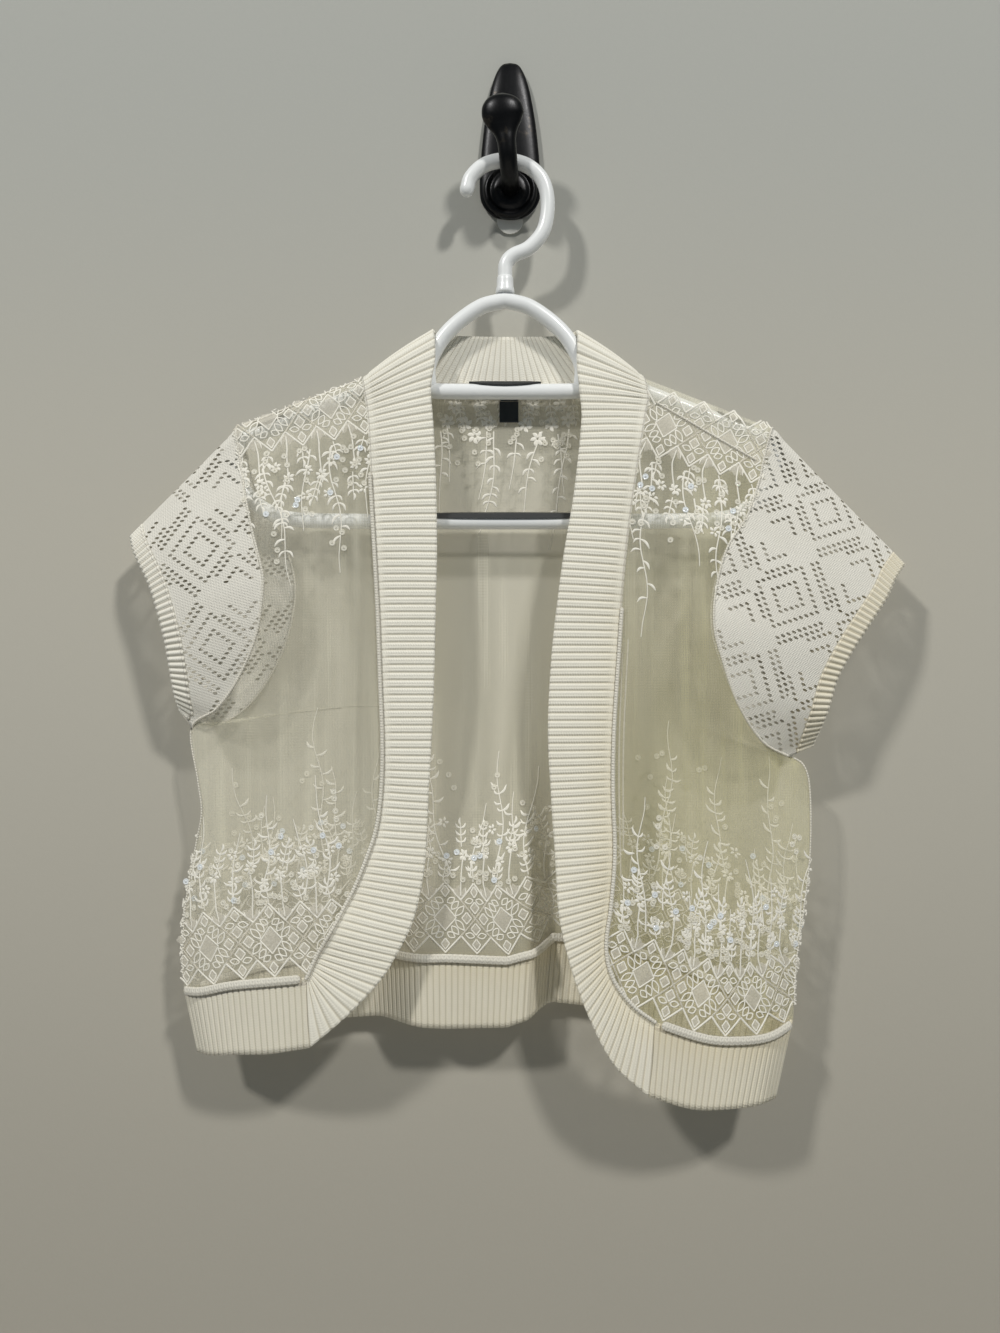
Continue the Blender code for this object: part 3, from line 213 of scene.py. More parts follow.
def hanger_lines():
    """Middle lines of the top loop (closed) and of the arms with the lower bar."""
    left = [(HANGER_X - x, HANGER_Y, z) for x, z in LOOP_HALF]
    right = [(HANGER_X + x, HANGER_Y, z) for x, z in LOOP_HALF[:0:-1]]
    rows = [*left, *right, left[0]]
    loop = smooth_rows(rows, by_length(rows, np.linspace(0, 1, 39)))
    rows = [(HANGER_X - x, HANGER_Y, arm_height(HANGER_X - x) if z is None else z)
            for x, z in ARM_HALF]
    rows += [(2 * HANGER_X - x, y, z) for x, y, z in rows[-2::-1]]
    arms = smooth_rows(rows, np.linspace(0, len(rows) - 1, 39))
    return loop, arms


def to_hanger(points):
    """Vector from the nearest place on the hanger's middle lines to each point."""
    flat = np.asarray(points, float).reshape(-1, 3)
    best = np.full(len(flat), 1e9)
    away = np.zeros_like(flat)
    for line in HANGER_LINES:
        for a, b in zip(line[:-1], line[1:]):
            t = np.clip((flat - a) @ (b - a) / np.dot(b - a, b - a), 0, 1)
            gap = flat - a - t[:, None] * (b - a)
            size = np.linalg.norm(gap, axis=1)
            nearer = size < best
            best[nearer] = size[nearer]
            away[nearer] = gap[nearer]
    return away.reshape(np.shape(points))


def clear_of_hanger(points):
    """Moves points that are too near a tube straight out to the cloth's own radius."""
    away = to_hanger(points)
    size = np.maximum(np.linalg.norm(away, axis=-1, keepdims=True), 1e-6)
    return points + away / size * np.maximum(CLOTH_R - size, 0.0)


def normals(grid, closed=False):
    """Unit normals of a surface grid, from its neighbours along both directions."""
    if closed:
        wide = np.concatenate([grid[-1:], grid, grid[:1]])
        along = wide[2:] - wide[:-2]
    else:
        along = np.gradient(grid, axis=0)
    return unit(np.cross(along, np.gradient(grid, axis=1)))


def facing(n, outward):
    """Turns the normals to the side that `outward` points to on the whole."""
    return n if np.sum(n * outward) > 0 else -n


def cloth_normals(grid, outward=FRONT, closed=False):
    """Unit normals of cloth; where it lies round a tube they point square to the tube."""
    n = facing(normals(grid, closed), outward)
    away = to_hanger(grid)
    size = np.linalg.norm(away, axis=-1, keepdims=True)
    near = size < CLOTH_R + 0.2
    side = 1.0 if np.sum(n * away * near) >= 0 else -1.0
    return np.where(near, side * away / np.maximum(size, 1e-6), n)


def patch_at(first, last, top, bottom, u, v, fade=1):
    """Patch between two side edges, given at v, and a top and bottom edge, given at u.

    The sides are blended along u. What the top and bottom edges add to the straight
    line between their corners is faded out down the patch, by (1 - v)^fade and by v.
    The depth is blended from top to bottom instead, and drawn to the sides' own depth
    over SIDE_REACH.
    """
    body = (1 - u) * first[None] + u * last[None]
    over = top[:, None] - (1 - u) * first[0] - u * last[0]
    under = bottom[:, None] - (1 - u) * first[-1] - u * last[-1]
    patch = body + (1 - v) ** fade * over + v * under
    depth = (1 - v[..., 0]) * top[:, None, 1] + v[..., 0] * bottom[:, None, 1]
    width = np.abs(last[:, 0] - first[:, 0])
    for edge, row, away in ((first, 0, u[..., 0]), (last, -1, 1 - u[..., 0])):
        pull = (edge[:, 1] - depth[row]) * (1 - ramp(away * width, 0.0, SIDE_REACH))
        depth = depth + pull
    patch[..., 1] = depth
    return patch


# Hanger: half middle lines as distance from its middle and height; None is on the arm.
LOOP_HALF = ((0, -138), (17, -142), (33, -152), (46, -164), (54, -176), (59, -187),
             (60, -197), (57, -205.5), (49, -208.5))
ARM_HALF = ((58, None), (110, None), (160, None), (194, None), (205, -247), (210, -259),
            (208, -275), (200, -290), (186, -301), (166, -308), (110, -309.5), (0, -310))

HANGER_LINES = hanger_lines()

# Cloth edges are rows of x, hanging depth y and height. Above the arm's axis the height
# is a length over the tube, so a crest lies QUARTER above the axis.


def right_drop(x):
    """The right shoulder seam runs along the top of the arm."""
    return np.full_like(x, -QUARTER)


def left_drop(x):
    """The left shoulder seam has rolled forward, more so towards the sleeve."""
    return 7.0 + 0.2 * (x - 107.0)


RIGHT_BAND = (     # seam x, y, height, then free edge x, y, height, from the crest down
    (-115, -41, -195.2, -60, -30, -160),
    (-115, -41, -200.5, -59, -35, -165),
    (-114, -41, -206, -58, -38.5, -173),
    (-113, -41, -213, -58, -41, -188),
    (-111, -42, -224, -61, -42, -210),
    (-109, -43, -245, -59, -43, -237),
    (-107, -44, -282, -57, -45, -279),
    (-104, -45.5, -330, -56, -47, -330),
    (-101, -47, -382, -57, -49, -382),
    (-99, -48.5, -433, -58, -51, -433),
    (-97, -50.5, -482, -60, -53, -482),
    (-98, -51, -518, -62, -54, -520),
    (-101.5, -52, -545, -63, -55.5, -547),
    (-109, -53.5, -568, -64.5, -57, -572),
    (-118, -55, -590, -69, -59, -598),
    (-127, -56, -606, -75, -61, -618),
    (-138, -57, -627, -86, -62, -639),
    (-146, -57.5, -641, -96, -63, -655),
    (-151, -58, -652, -119, -64, -680),
    (-153, -58, -656, -150, -62, -707))
RIGHT_ARMHOLE = (  # front armhole, below the shoulder
    (-206, -44, -272), (-198, -50, -311), (-188, -54, -349), (-187, -55, -366),
    (-192, -54, -398), (-206, -50, -430), (-224, -45, -454), (-247, -33, -470))
RIGHT_SIDE = (
    (-247, -33, -470), (-242, -33, -510), (-239, -33, -535), (-243, -33, -559),
    (-251, -34, -606), (-253, -34, -641), (-253, -34, -672))
RIGHT_HEM = (
    (-153, -58, -656), (-181, -57, -659), (-210, -53, -663), (-236, -45, -670),
    (-253, -34, -672))
RIGHT_HEM_FREE = (
    (-150, -62, -707), (-180, -61, -712), (-207, -57, -714), (-227, -48, -718),
    (-242, -35, -720))
RIGHT_BACK_ARMHOLE = (
    (-200, -18, -285), (-184, -14, -315), (-172, -12, -352), (-174, -12, -385),
    (-186, -12, -420), (-207, -14, -452), (-230, -21, -468), (-247, -32, -470))
RIGHT_CUFF = (     # rim of the sleeve: tip, front, underarm
    (-296, -30, -321), (-289, -41, -336), (-276, -47, -360), (-269, -49, -380),
    (-263, -49, -403), (-260, -46, -425), (-258, -41, -444), (-256, -32, -458))
RIGHT_CUFF_BACK = (
    (-296, -30, -321), (-288, -17, -335), (-276, -13, -358), (-269, -12, -378),
    (-263, -12, -400), (-260, -14, -422), (-258, -20, -442), (-256, -32, -458))

LEFT_BAND = (      # the same columns
    (102.5, -40, -193.6, 50, -30, -162),
    (104.3, -40, -201.0, 51, -36.5, -172),
    (105.8, -40, -208.4, 51, -40, -192),
    (107, -41, -217, 53, -42, -214),
    (103, -44, -236, 54, -43, -236),
    (94, -46, -292, 48, -47, -291),
    (87, -48, -348, 39, -50, -345),
    (82, -50, -412, 31, -52, -412),
    (78, -52, -470, 28, -55, -470),
    (77, -54, -515, 30, -57, -517),
    (78, -57, -562, 33, -60, -565),
    (75, -59, -600, 36, -64, -610),
    (71, -61, -632, 45, -66, -648),
    (76, -63, -655, 58, -68, -683),
    (90, -64, -674, 76, -69, -717),
    (107, -64, -687, 102, -68, -741))
LEFT_ARMHOLE = (
    (190, -45, -280), (179, -50, -309), (163, -54, -334), (154, -56, -366),
    (152, -57, -392), (158, -56, -416), (171, -53, -450), (192, -46, -479),
    (216, -37, -492))
LEFT_SIDE = (
    (216, -37, -492), (226, -39, -500), (230, -39, -520), (230, -39, -565),
    (225, -39, -610), (219, -40, -650), (217, -40, -694))
LEFT_HEM = (
    (107, -64, -687), (142, -62, -699), (168, -60, -702), (194, -54, -701),
    (217, -40, -694))
LEFT_HEM_FREE = (
    (102, -68, -741), (134, -66, -751), (161, -64, -752), (186, -57, -752),
    (203, -43, -752))
LEFT_BACK_ARMHOLE = (
    (200, -16, -272), (184, -15, -300), (166, -13, -345), (160, -13, -385),
    (168, -13, -420), (184, -14, -455), (203, -21, -482), (216, -36, -492))
LEFT_CUFF = (
    (307, -31, -343), (295, -42, -356), (286, -48, -371), (272, -53, -390),
    (258, -56, -410), (246, -56, -432), (239, -53, -458), (233, -37, -484))
LEFT_CUFF_BACK = (
    (307, -31, -343), (294, -18, -355), (284, -14, -371), (270, -13, -390),
    (256, -14, -410), (245, -16, -432), (238, -22, -456), (233, -37, -484))

LEFT_TURN = (      # left armhole over the arm: x, length over the arm's axis in front
    (203, 14.6), (202, 9.7), (200.5, 4.8), (199, 0), (196, -12), (193, -24.2))
NECK_BAND = (      # back neck seam x and height over the arm's axis, free edge x, y, z
    (-115, 14.6, -60, -30, -160),
    (-111, 11, -59.5, -25, -160),
    (-105, 6.5, -58, -20, -161),
    (-97, 1.5, -54, -18, -162),
    (-85, -4, -48, -17, -162),
    (-50, -20, -30, -16, -162),
    (-4, -38.5, -4, -15, -162),
    (42, -20.5, 20, -15, -162),
    (78, -3.5, 38, -17, -162),
    (89, 2, 44, -19, -162),
    (96.5, 7.5, 48, -24, -162),
    (102.5, 14.6, 50, -30, -162))
LEFT_CLIMB = (     # the back's edge beside the left band: x, height over the arm's axis
    (104.3, 21.4), (105.8, 28.1), (107, 36.2))

BACK_HEM = (       # x, hanging depth, height, without the fold
    (-253, -34, -672), (-230, -20, -668), (-200, -14, -660), (-150, -12, -651),
    (-100, -12, -647), (-50, -12, -646), (-3, -12, -648), (20, -11, -642), (34, -10, -637),
    (70, -10, -640), (110, -11, -651), (150, -14, -665), (190, -24, -684), (217, -40, -694))
BACK_HEM_FREE = (
    (-242, -35, -720), (-224, -22, -716), (-196, -15, -710), (-150, -13, -702),
    (-100, -12, -699), (-50, -12, -701), (-3, -12, -700), (20, -12, -692), (34, -11, -689),
    (70, -11, -693), (108, -13, -705), (145, -17, -722), (180, -27, -743), (203, -43, -752))

# The loose fold of the back, which stands forward at the hem and dies out upwards
FOLD_DEPTH = 25.0
FOLD_TOP = -440.0
FOLD_FULL = -620.0
FOLD_RISE = (-112.0, -64.0)
FOLD_FALL = (11.0, 33.0)

# Soft folds: panel, x at top, height there, x at bottom, height there, half width, depth
SOFT_FOLDS = (
    ("front_right", -141, -360, -137, -600, 9.0, 4.5),
    ("front_right", -176, -420, -190, -600, 12.0, -3.5),
    ("front_left", 98, -380, 96, -600, 8.0, 4.0),
    ("front_left", 140, -360, 182, -520, 11.0, 4.5),
    ("front_left", 150, -470, 140, -640, 13.0, -3.5),
    ("back_panel", -150, -300, -165, -600, 16.0, 4.0),
    ("back_panel", 90, -300, 120, -600, 16.0, 4.0),
)


def back_fold(points):
    """Adds the back's loose fold to hanging points."""
    points = np.array(points, float)
    x, z = points[..., 0], points[..., 2]
    across = ramp(x, *FOLD_RISE) * (1 - ramp(x, *FOLD_FALL))
    points[..., 1] -= FOLD_DEPTH * across * ramp(-z, -FOLD_TOP, -FOLD_FULL)
    return points


def soft_folds(points, panel):
    """Adds each soft fold of the panel: a ridge of half width w along a slanting line."""
    points = np.array(points, float)
    x, z = points[..., 0], points[..., 2]
    for owner, x_top, z_top, x_low, z_low, width, depth in SOFT_FOLDS:
        if owner == panel:
            t = np.clip((z_top - z) / (z_top - z_low), 0, 1)
            line = x_top + (x_low - x_top) * t
            fade = ramp(z_top + 60 - z, 0, 90) * ramp(z - z_low + 60, 0, 60)
            points[..., 1] -= depth * fade * np.exp(-((x - line) / width) ** 2)
    return points


def armhole_rows(head, rows, corner, above, below):
    """Fractions of an edge's length: head, then down to the row `corner`, then below."""
    fine = by_length(rows, np.linspace(0, 1, 2001))
    split = float(np.interp(corner, fine, np.linspace(0, 1, 2001)))
    upper = np.linspace(head[-1], split, above + 1)[1:]
    lower = np.linspace(split, 1.0, below + 1)[1:]
    return np.concatenate([head, upper, lower]), len(head) + above - 1


def back_top(x):
    """Top edge of the back: right shoulder, neckline, left shoulder rolled forward."""
    rows = np.array([row[:2] for row in NECK_BAND] + list(LEFT_CLIMB), float)
    height = np.interp(x, rows[:, 0], rows[:, 1])
    height = np.where(x < rows[0, 0], QUARTER, height)
    height = np.where(x > rows[-1, 0], 2 * QUARTER + left_drop(x), height)
    return np.stack([x, np.full_like(x, BEHIND), arm_height(x) + height], axis=-1)


def front_panel(name, seam, armhole, side, hem, drop, shoulder_x):
    """Grid of a front, its rows on the band seam and its rows down to the underarm."""
    ends = np.array(shoulder_x, float)
    corner = (ends[1], FAR_HANG, arm_height(ends[1]) - drop(ends[1]))
    side_rows = [corner, *armhole, *side[1:]]
    head = (*np.arange(4) * CREST_STEP, 0.05)
    v, under = armhole_rows(head, side_rows, len(armhole), 9, 9)
    v, under = finer(v), under * FINE
    u = np.linspace(0, 1, 8 * FINE + 1)
    seam_at = by_length(seam, v)
    first = smooth_rows(seam, seam_at)
    last = smooth_rows(side_rows, by_length(side_rows, v))
    x = ends[0] + (ends[1] - ends[0]) * u
    top = np.stack([x, first[0, 1] + (FAR_HANG - first[0, 1]) * u,
                    arm_height(x) - drop(x)], axis=-1)
    bottom = smooth_rows(hem, by_length(hem, u))
    flat = patch_at(first, last, top, bottom, u[:, None, None], v[None, :, None])
    return over_hanger(soft_folds(flat, name), 1), seam_at, v[:under + 1] / v[under]


def back_panel():
    """Grid of the back, its columns over the top, the underarm row and the crest row."""
    right, left = BACK_TOP
    fixed = [row[0] for row in NECK_BAND] + [row[0] for row in LEFT_CLIMB]
    hem_x = (BACK_HEM[0][0], BACK_HEM[-1][0])
    fold = [FOLD_RISE[0], -96, -80, FOLD_RISE[1], FOLD_FALL[0], 22, FOLD_FALL[1]]
    near = np.array([(x - right) / (left - right) for x in fixed]
                    + [(x - hem_x[0]) / (hem_x[1] - hem_x[0]) for x in fold])
    even = np.array([0, 0.05, 0.11, 0.17, 0.83, 0.875, 0.935, 1.0])
    u = np.sort(np.concatenate([even, near]))
    u = finer(u[np.concatenate([[True], np.diff(u) > 0.0008])])
    turn = [(x, -16, arm_height(x) + 2 * QUARTER - run) for x, run in LEFT_TURN[::-1]]
    crest = (right, BEHIND, arm_height(right) + QUARTER)
    first_rows = [crest, *RIGHT_BACK_ARMHOLE, *RIGHT_SIDE[1:]]
    last_rows = [*turn, *LEFT_BACK_ARMHOLE, *LEFT_SIDE[1:]]
    head = np.arange(12) * CREST_STEP
    v, under = armhole_rows(head, last_rows, len(turn) + len(LEFT_BACK_ARMHOLE) - 1, 6, 6)
    v_right = v.copy()
    right_split = armhole_rows(head, first_rows, len(RIGHT_BACK_ARMHOLE), 6, 6)[0][under]
    v_right[under:] = right_split + (v[under:] - v[under]) / (1 - v[under]) * (1 - right_split)
    v_right[:under] *= right_split / v[under]
    v, v_right, under = finer(v), finer(v_right), under * FINE
    first = smooth_rows(first_rows, by_length(first_rows, v_right))
    last = smooth_rows(last_rows, by_length(last_rows, v))
    top = back_top(right + (left - right) * u)
    top[-1] = turn[0]
    bottom = edge_at(BACK_HEM, hem_x[0] + (hem_x[1] - hem_x[0]) * u)
    across = u[:, None, None]
    down = ((1 - across) * v_right[None, :, None] + across * v[None, :, None])
    flat = patch_at(first, last, top, bottom, across, down, fade=3)
    flat = back_fold(soft_folds(flat, "back_panel"))
    crest_height = arm_height(LEFT_TURN[0][0]) + QUARTER
    start = int(np.argmin(np.abs(last[:under, 2] - crest_height)))
    return over_hanger(flat, -1), u, under, start


# Meshes

def add_mesh(name, points, faces, mats, uv=None, node=None, picks=None):
    """Adds a mesh given in millimetres; uv is one place for each point."""
    mesh = bpy.data.meshes.new(name)
    faces = faces.tolist() if isinstance(faces, np.ndarray) else faces
    mesh.from_pydata((points.reshape(-1, 3) * MM).tolist(), [], faces)
    if uv is not None:
        corner = np.empty(len(mesh.loops), dtype=np.int32)
        mesh.loops.foreach_get("vertex_index", corner)
        layer = mesh.uv_layers.new(name="UVMap")
        layer.data.foreach_set("uv", (uv.reshape(-1, 2)[corner] * MM).ravel())
    for mat in mats:
        mesh.materials.append(mat)
    if picks is not None:
        mesh.polygons.foreach_set("material_index", picks.astype(np.int32))
    mesh.shade_smooth()
    item = bpy.data.objects.new(name, mesh)
    bpy.context.collection.objects.link(item)
    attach(item, "root")
    if node:
        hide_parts(node)
    return item


def numbers(rows, columns, closed=False):
    """Numbers of a grid's points; a closed grid has its first row again at the end."""
    table = np.arange(rows * columns).reshape(rows, columns)
    return np.vstack([table, table[:1]]) if closed else table


def quads(table):
    """Quads between the neighbours in a table of point numbers, or in several tables."""
    a, b = table[..., :-1, :], table[..., 1:, :]
    return np.stack([a[..., :-1], b[..., :-1], b[..., 1:], a[..., 1:]], -1).reshape(-1, 4)


def ring_quads(table):
    """The same where each row is a ring, wound the other way."""
    return quads(np.concatenate([table, table[..., :1]], -1))[:, (0, 3, 2, 1)]


def add_wall(name, outer, inner, mat, uv, node, closed=False):
    """Closed wall between two grids that lie back to back, rimmed at its open ends."""
    top = numbers(*outer.shape[:2], closed)
    low = top + outer.shape[0] * outer.shape[1]
    faces = [quads(top), quads(low)[:, ::-1], quads(np.stack([top[:, 0], low[:, 0]])),
             quads(np.stack([top[:, -1], low[:, -1]], -1))]
    if not closed:
        faces += [quads(np.stack([top[0], low[0]], -1)), quads(np.stack([top[-1], low[-1]]))]
    return add_mesh(name, np.stack([outer, inner]), np.concatenate(faces), [mat],
                    np.stack([uv, uv]), node)


def grid_area(grid):
    """Area of a grid's surface in square metres."""
    a = np.cross(grid[1:, :-1] - grid[:-1, :-1], grid[:-1, 1:] - grid[:-1, :-1])
    b = np.cross(grid[1:, :-1] - grid[1:, 1:], grid[:-1, 1:] - grid[1:, 1:])
    total = np.linalg.norm(a, axis=-1).sum() + np.linalg.norm(b, axis=-1).sum()
    return float(total / 2 * MM * MM)


def rounded(path, radii):
    """The same path and pairs of radii with a round nose at each end.

    A nose is a quarter turn: the path goes on by r sin(turn), the radii by cos(turn).
    """
    way = unit(np.gradient(path, axis=0))
    turn = np.radians((25, 45, 62, 76, 86))[:, None]
    ahead = path[-1] + way[-1] * radii[-1].mean() * np.sin(turn)
    behind = path[0] - way[0] * radii[0].mean() * np.sin(turn)
    path = np.vstack([behind[::-1], path, ahead])
    return path, np.vstack([(radii[0] * np.cos(turn))[::-1], radii, radii[-1] * np.cos(turn)])


def turns(sides, start=0.5):
    """Angles of the points of a ring."""
    return (np.arange(sides) + start) * 2 * np.pi / sides


def rings(path, side, front, radii, turn):
    """Rings along a path: path + side r cos(turn) + front q sin(turn), r, q pairs of radii."""
    return (path[:, None] + side[:, None] * np.cos(turn)[None, :, None] * radii[:, None, :1]
            + front[:, None] * np.sin(turn)[None, :, None] * radii[:, None, 1:])


def tube(name, path, radii, mats, sides, closed=False, node=None):
    """Tube along a path; radii are one number, one for each point, or pairs of them.

    Of a pair the first is across the path and square to Y, and the second square to both.
    """
    radii = np.asarray(radii, float)
    radii = radii if radii.ndim == 2 else radii.reshape(-1, 1)
    radii = np.broadcast_to(radii, (len(path), 2))
    if closed:
        way = unit(np.roll(path, -1, axis=0) - np.roll(path, 1, axis=0))
    else:
        way = unit(np.gradient(path, axis=0))
    side = unit(np.cross(way, (0.0, 1.0, 0.0)))
    turn = turns(sides)
    ring = rings(path, side, np.cross(side, way), radii, turn)
    uv = np.stack(np.broadcast_arrays(lengths(path)[:, None], turn[None] * radii.mean()), -1)
    return ringed(name, ring, mats, uv, node, closed)


def ringed(name, ring, mats, uv=None, node=None, closed=False):
    """Skin over a row of rings, capped at both ends unless the row is closed."""
    count, sides = ring.shape[:2]
    faces = ring_quads(numbers(count, sides, closed)).tolist()
    if not closed:
        faces.append(list(range(sides))[::-1])
        faces.append([(count - 1) * sides + j for j in range(sides)])
    return add_mesh(name, ring, faces, mats, uv, node)


# Shaders

class Value:
    """A number in a shader; its operators add Math nodes."""

    def __init__(self, tree, socket):
        self.tree = tree
        self.socket = socket

    def math(self, kind, *others):
        """A Math node of the given kind on this number and the others."""
        node = self.tree.nodes.new("ShaderNodeMath")
        node.operation = kind
        for slot_in, value in zip(node.inputs, (self, *others)):
            if isinstance(value, Value):
                self.tree.links.new(value.socket, slot_in)
            else:
                slot_in.default_value = value
        return Value(self.tree, node.outputs[0])

    def __add__(self, other):
        return self.math("ADD", other)

    def __sub__(self, other):
        return self.math("SUBTRACT", other)

    def __mul__(self, other):
        return self.math("MULTIPLY", other)

    def __truediv__(self, other):
        return self.math("DIVIDE", other)

    def __rsub__(self, other):
        return (self * -1.0) + other

    __radd__ = __add__
    __rmul__ = __mul__

    def step(self, low, high):
        """Smooth step from 0 at low to 1 at high."""
        node = self.tree.nodes.new("ShaderNodeMapRange")
        node.interpolation_type = "SMOOTHSTEP"
        self.tree.links.new(self.socket, node.inputs[0])
        node.inputs[1].default_value = low
        node.inputs[2].default_value = high
        return Value(self.tree, node.outputs[0])


class Shader:
    """One Principled material and the nodes that feed it."""

    def __init__(self, name, **values):
        self.mat = bpy.data.materials.new(name)
        self.mat.use_nodes = True
        self.tree = self.mat.node_tree
        self.main = self.tree.nodes["Principled BSDF"]
        for key, value in values.items():
            self.main.inputs[key.replace("_", " ").title()].default_value = value

    def add(self, kind, **values):
        """A new node; a keyword ending in _in links or sets an input, others are settings."""
        node = self.tree.nodes.new(kind)
        for key, value in values.items():
            if key.endswith("_in"):
                self.join(value, node.inputs[key[:-3].replace("_", " ").title()])
            else:
                setattr(node, key, value)
        return node

    def join(self, value, target):
        """Links a value or a socket to an input, or sets the input to a plain value."""
        if isinstance(value, (Value, bpy.types.NodeSocket)):
            self.tree.links.new(getattr(value, "socket", value), target)
        else:
            target.default_value = value

    def feed(self, name, value):
        """Links a value to an input of the main shader."""
        self.join(value, self.main.inputs[name])

    def place(self, source="Object"):
        """The three numbers of the object's own coordinates in metres, or of its UV."""
        vector = self.add("ShaderNodeTexCoord").outputs[source]
        node = self.add("ShaderNodeSeparateXYZ", Vector_in=vector)
        return [Value(self.tree, out) for out in node.outputs]

    def noise(self, scale, detail=3.0, roughness=0.5, stretch=None):
        """Noise between 0 and 1; scale is in waves to the metre, stretch along each axis."""
        place = self.add("ShaderNodeTexCoord").outputs["Object"]
        if stretch:
            place = self.add("ShaderNodeMapping", Vector_in=place, Scale_in=stretch).outputs[0]
        node = self.add("ShaderNodeTexNoise", Vector_in=place, Scale_in=scale,
                        Detail_in=detail, Roughness_in=roughness)
        return Value(self.tree, node.outputs[0])

    def blend(self, low, high, amount):
        """Colour between two, each an sRGB colour in 0 to 255 or a socket."""
        node = self.add("ShaderNodeMix", data_type="RGBA")
        self.join(amount, node.inputs[0])
        for place, colour in ((6, low), (7, high)):
            plain = isinstance(colour, tuple)
            self.join((*linear(colour), 1.0) if plain else colour, node.inputs[place])
        return node.outputs[2]

    def paint(self, low, high, amount):
        """Base colour between two."""
        self.feed("Base Color", self.blend(low, high, amount))

    def bump(self, height, distance, strength):
        """Bump of the given height in metres."""
        node = self.add("ShaderNodeBump", Height_in=height, Distance_in=distance,
                        Strength_in=strength)
        self.feed("Normal", node.outputs[0])

    def grain(self, low, high, scale, *bump):
        """One noise for the base colour between two, and for a bump; gives the noise."""
        grain = self.noise(scale)
        self.paint(low, high, grain)
        if bump:
            self.bump(grain, *bump)
        return grain


def linear(colour):
    """Linear colour of an sRGB one given in 0 to 255."""
    c = np.array(colour) / 255
    return tuple(np.where(c < 0.04045, c / 12.92, ((c + 0.055) / 1.055) ** 2.4).tolist())


def stitches(shader, wale, course):
    """Height of stocking stitch from the UV: small Vs, wale wide and course high.

    A leg of the V is 1 - 1.6 |2 lean - 0.5| high, where lean is the distance from the
    middle of the column, and each row is shifted by 0.9 lean.
    """
    u, v, _ = shader.place("UV")
    lean = ((u / wale).math("FRACT") - 0.5).math("ABSOLUTE")
    row = (v / course + lean * 0.9).math("FRACT") - 0.5
    leg = 1.0 - (lean * 2.0 - 0.5).math("ABSOLUTE") * 1.6
    return leg * (1.0 - row.math("ABSOLUTE") * 1.4)


def painted_warm_light(shader, start, full):
    """Painted warm light: how warm the light is at a place, from 0 at start to 1 at full of 1.4
    x - z.
    """
    x, _, z = shader.place()
    return (x * 1.4 - z).step(start, full)


def cloth_shader(name, pale, dark, wale, course, depth):
    """Matt knit: colour drifts between two tones, stitches from the UV, their low parts painted
    darker as shade.
    """
    shader = Shader(name, roughness=0.92, sheen_weight=0.25, sheen_roughness=0.5)
    drift = shader.noise(28.0, 4.0) * 0.7 + shader.noise(260.0, 2.0) * 0.3
    height = stitches(shader, wale, course)
    # Painted shade: the stitches' low parts take the darker tone
    shader.paint(dark, pale, drift * 0.6 + height * 0.45)
    shader.bump(height, depth, 1.0)
    return shader


def pointelle_holes(shader):
    """How much a place belongs to a cell with a hole, and how far it is from its middle.

    Holes sit in square cells turned by 45 degrees: p = (m + n) / step, q = (m - n) / step,
    with m and n counted from the middle of the repeat. The chosen cells make two nested
    squares, double rows beside them on the cuff's side, and corners between the squares.
    """
    u, v, _ = shader.place("UV")

    def cells(shift, rise):
        m = ((u + shift) / REPEAT).math("FRACT") * REPEAT - REPEAT / 2
        n = ((v + rise) / TALL).math("FRACT") * TALL - TALL / 2
        p, q = (m + n) / HOLE_STEP, (m - n) / HOLE_STEP
        cell_p, cell_q = (p + 0.5).math("FLOOR"), (q + 0.5).math("FLOOR")
        return cell_p, cell_q, p - cell_p, q - cell_q

    def squares(cell_p, cell_q, *sizes):
        sides = cell_p.math("ABSOLUTE"), cell_q.math("ABSOLUTE")
        far = sides[0].math("MAXIMUM", sides[1])
        on = [far.math("COMPARE", float(size), 0.1) for size in sizes]
        return on[0] + on[1], sides[0].math("MINIMUM", sides[1]).math("LESS_THAN", 4.5)

    cell_p, cell_q, off_p, off_q = cells(0.0, 0.0)
    nested, _ = squares(cell_p, cell_q, 4, 2)
    rows, short = squares(cell_p, cell_q, 6, 7)
    chosen = nested + rows * short * (cell_p - cell_q).math("GREATER_THAN", 0.5)
    # The other set of squares lies half a repeat on and 4 of the repeat's 11 rows up
    cell_p, cell_q, _, _ = cells(REPEAT / 2, TALL * 4 / 11)
    corners, short = squares(cell_p, cell_q, 3, 5)
    chosen = chosen + corners * (cell_p * cell_q).math("GREATER_THAN", -0.5) * short
    along, across = off_p + off_q, off_p - off_q
    away = (along * along * 2.0 + across * across * 0.55).math("SQRT")
    return chosen.math("MINIMUM", 1.0), away


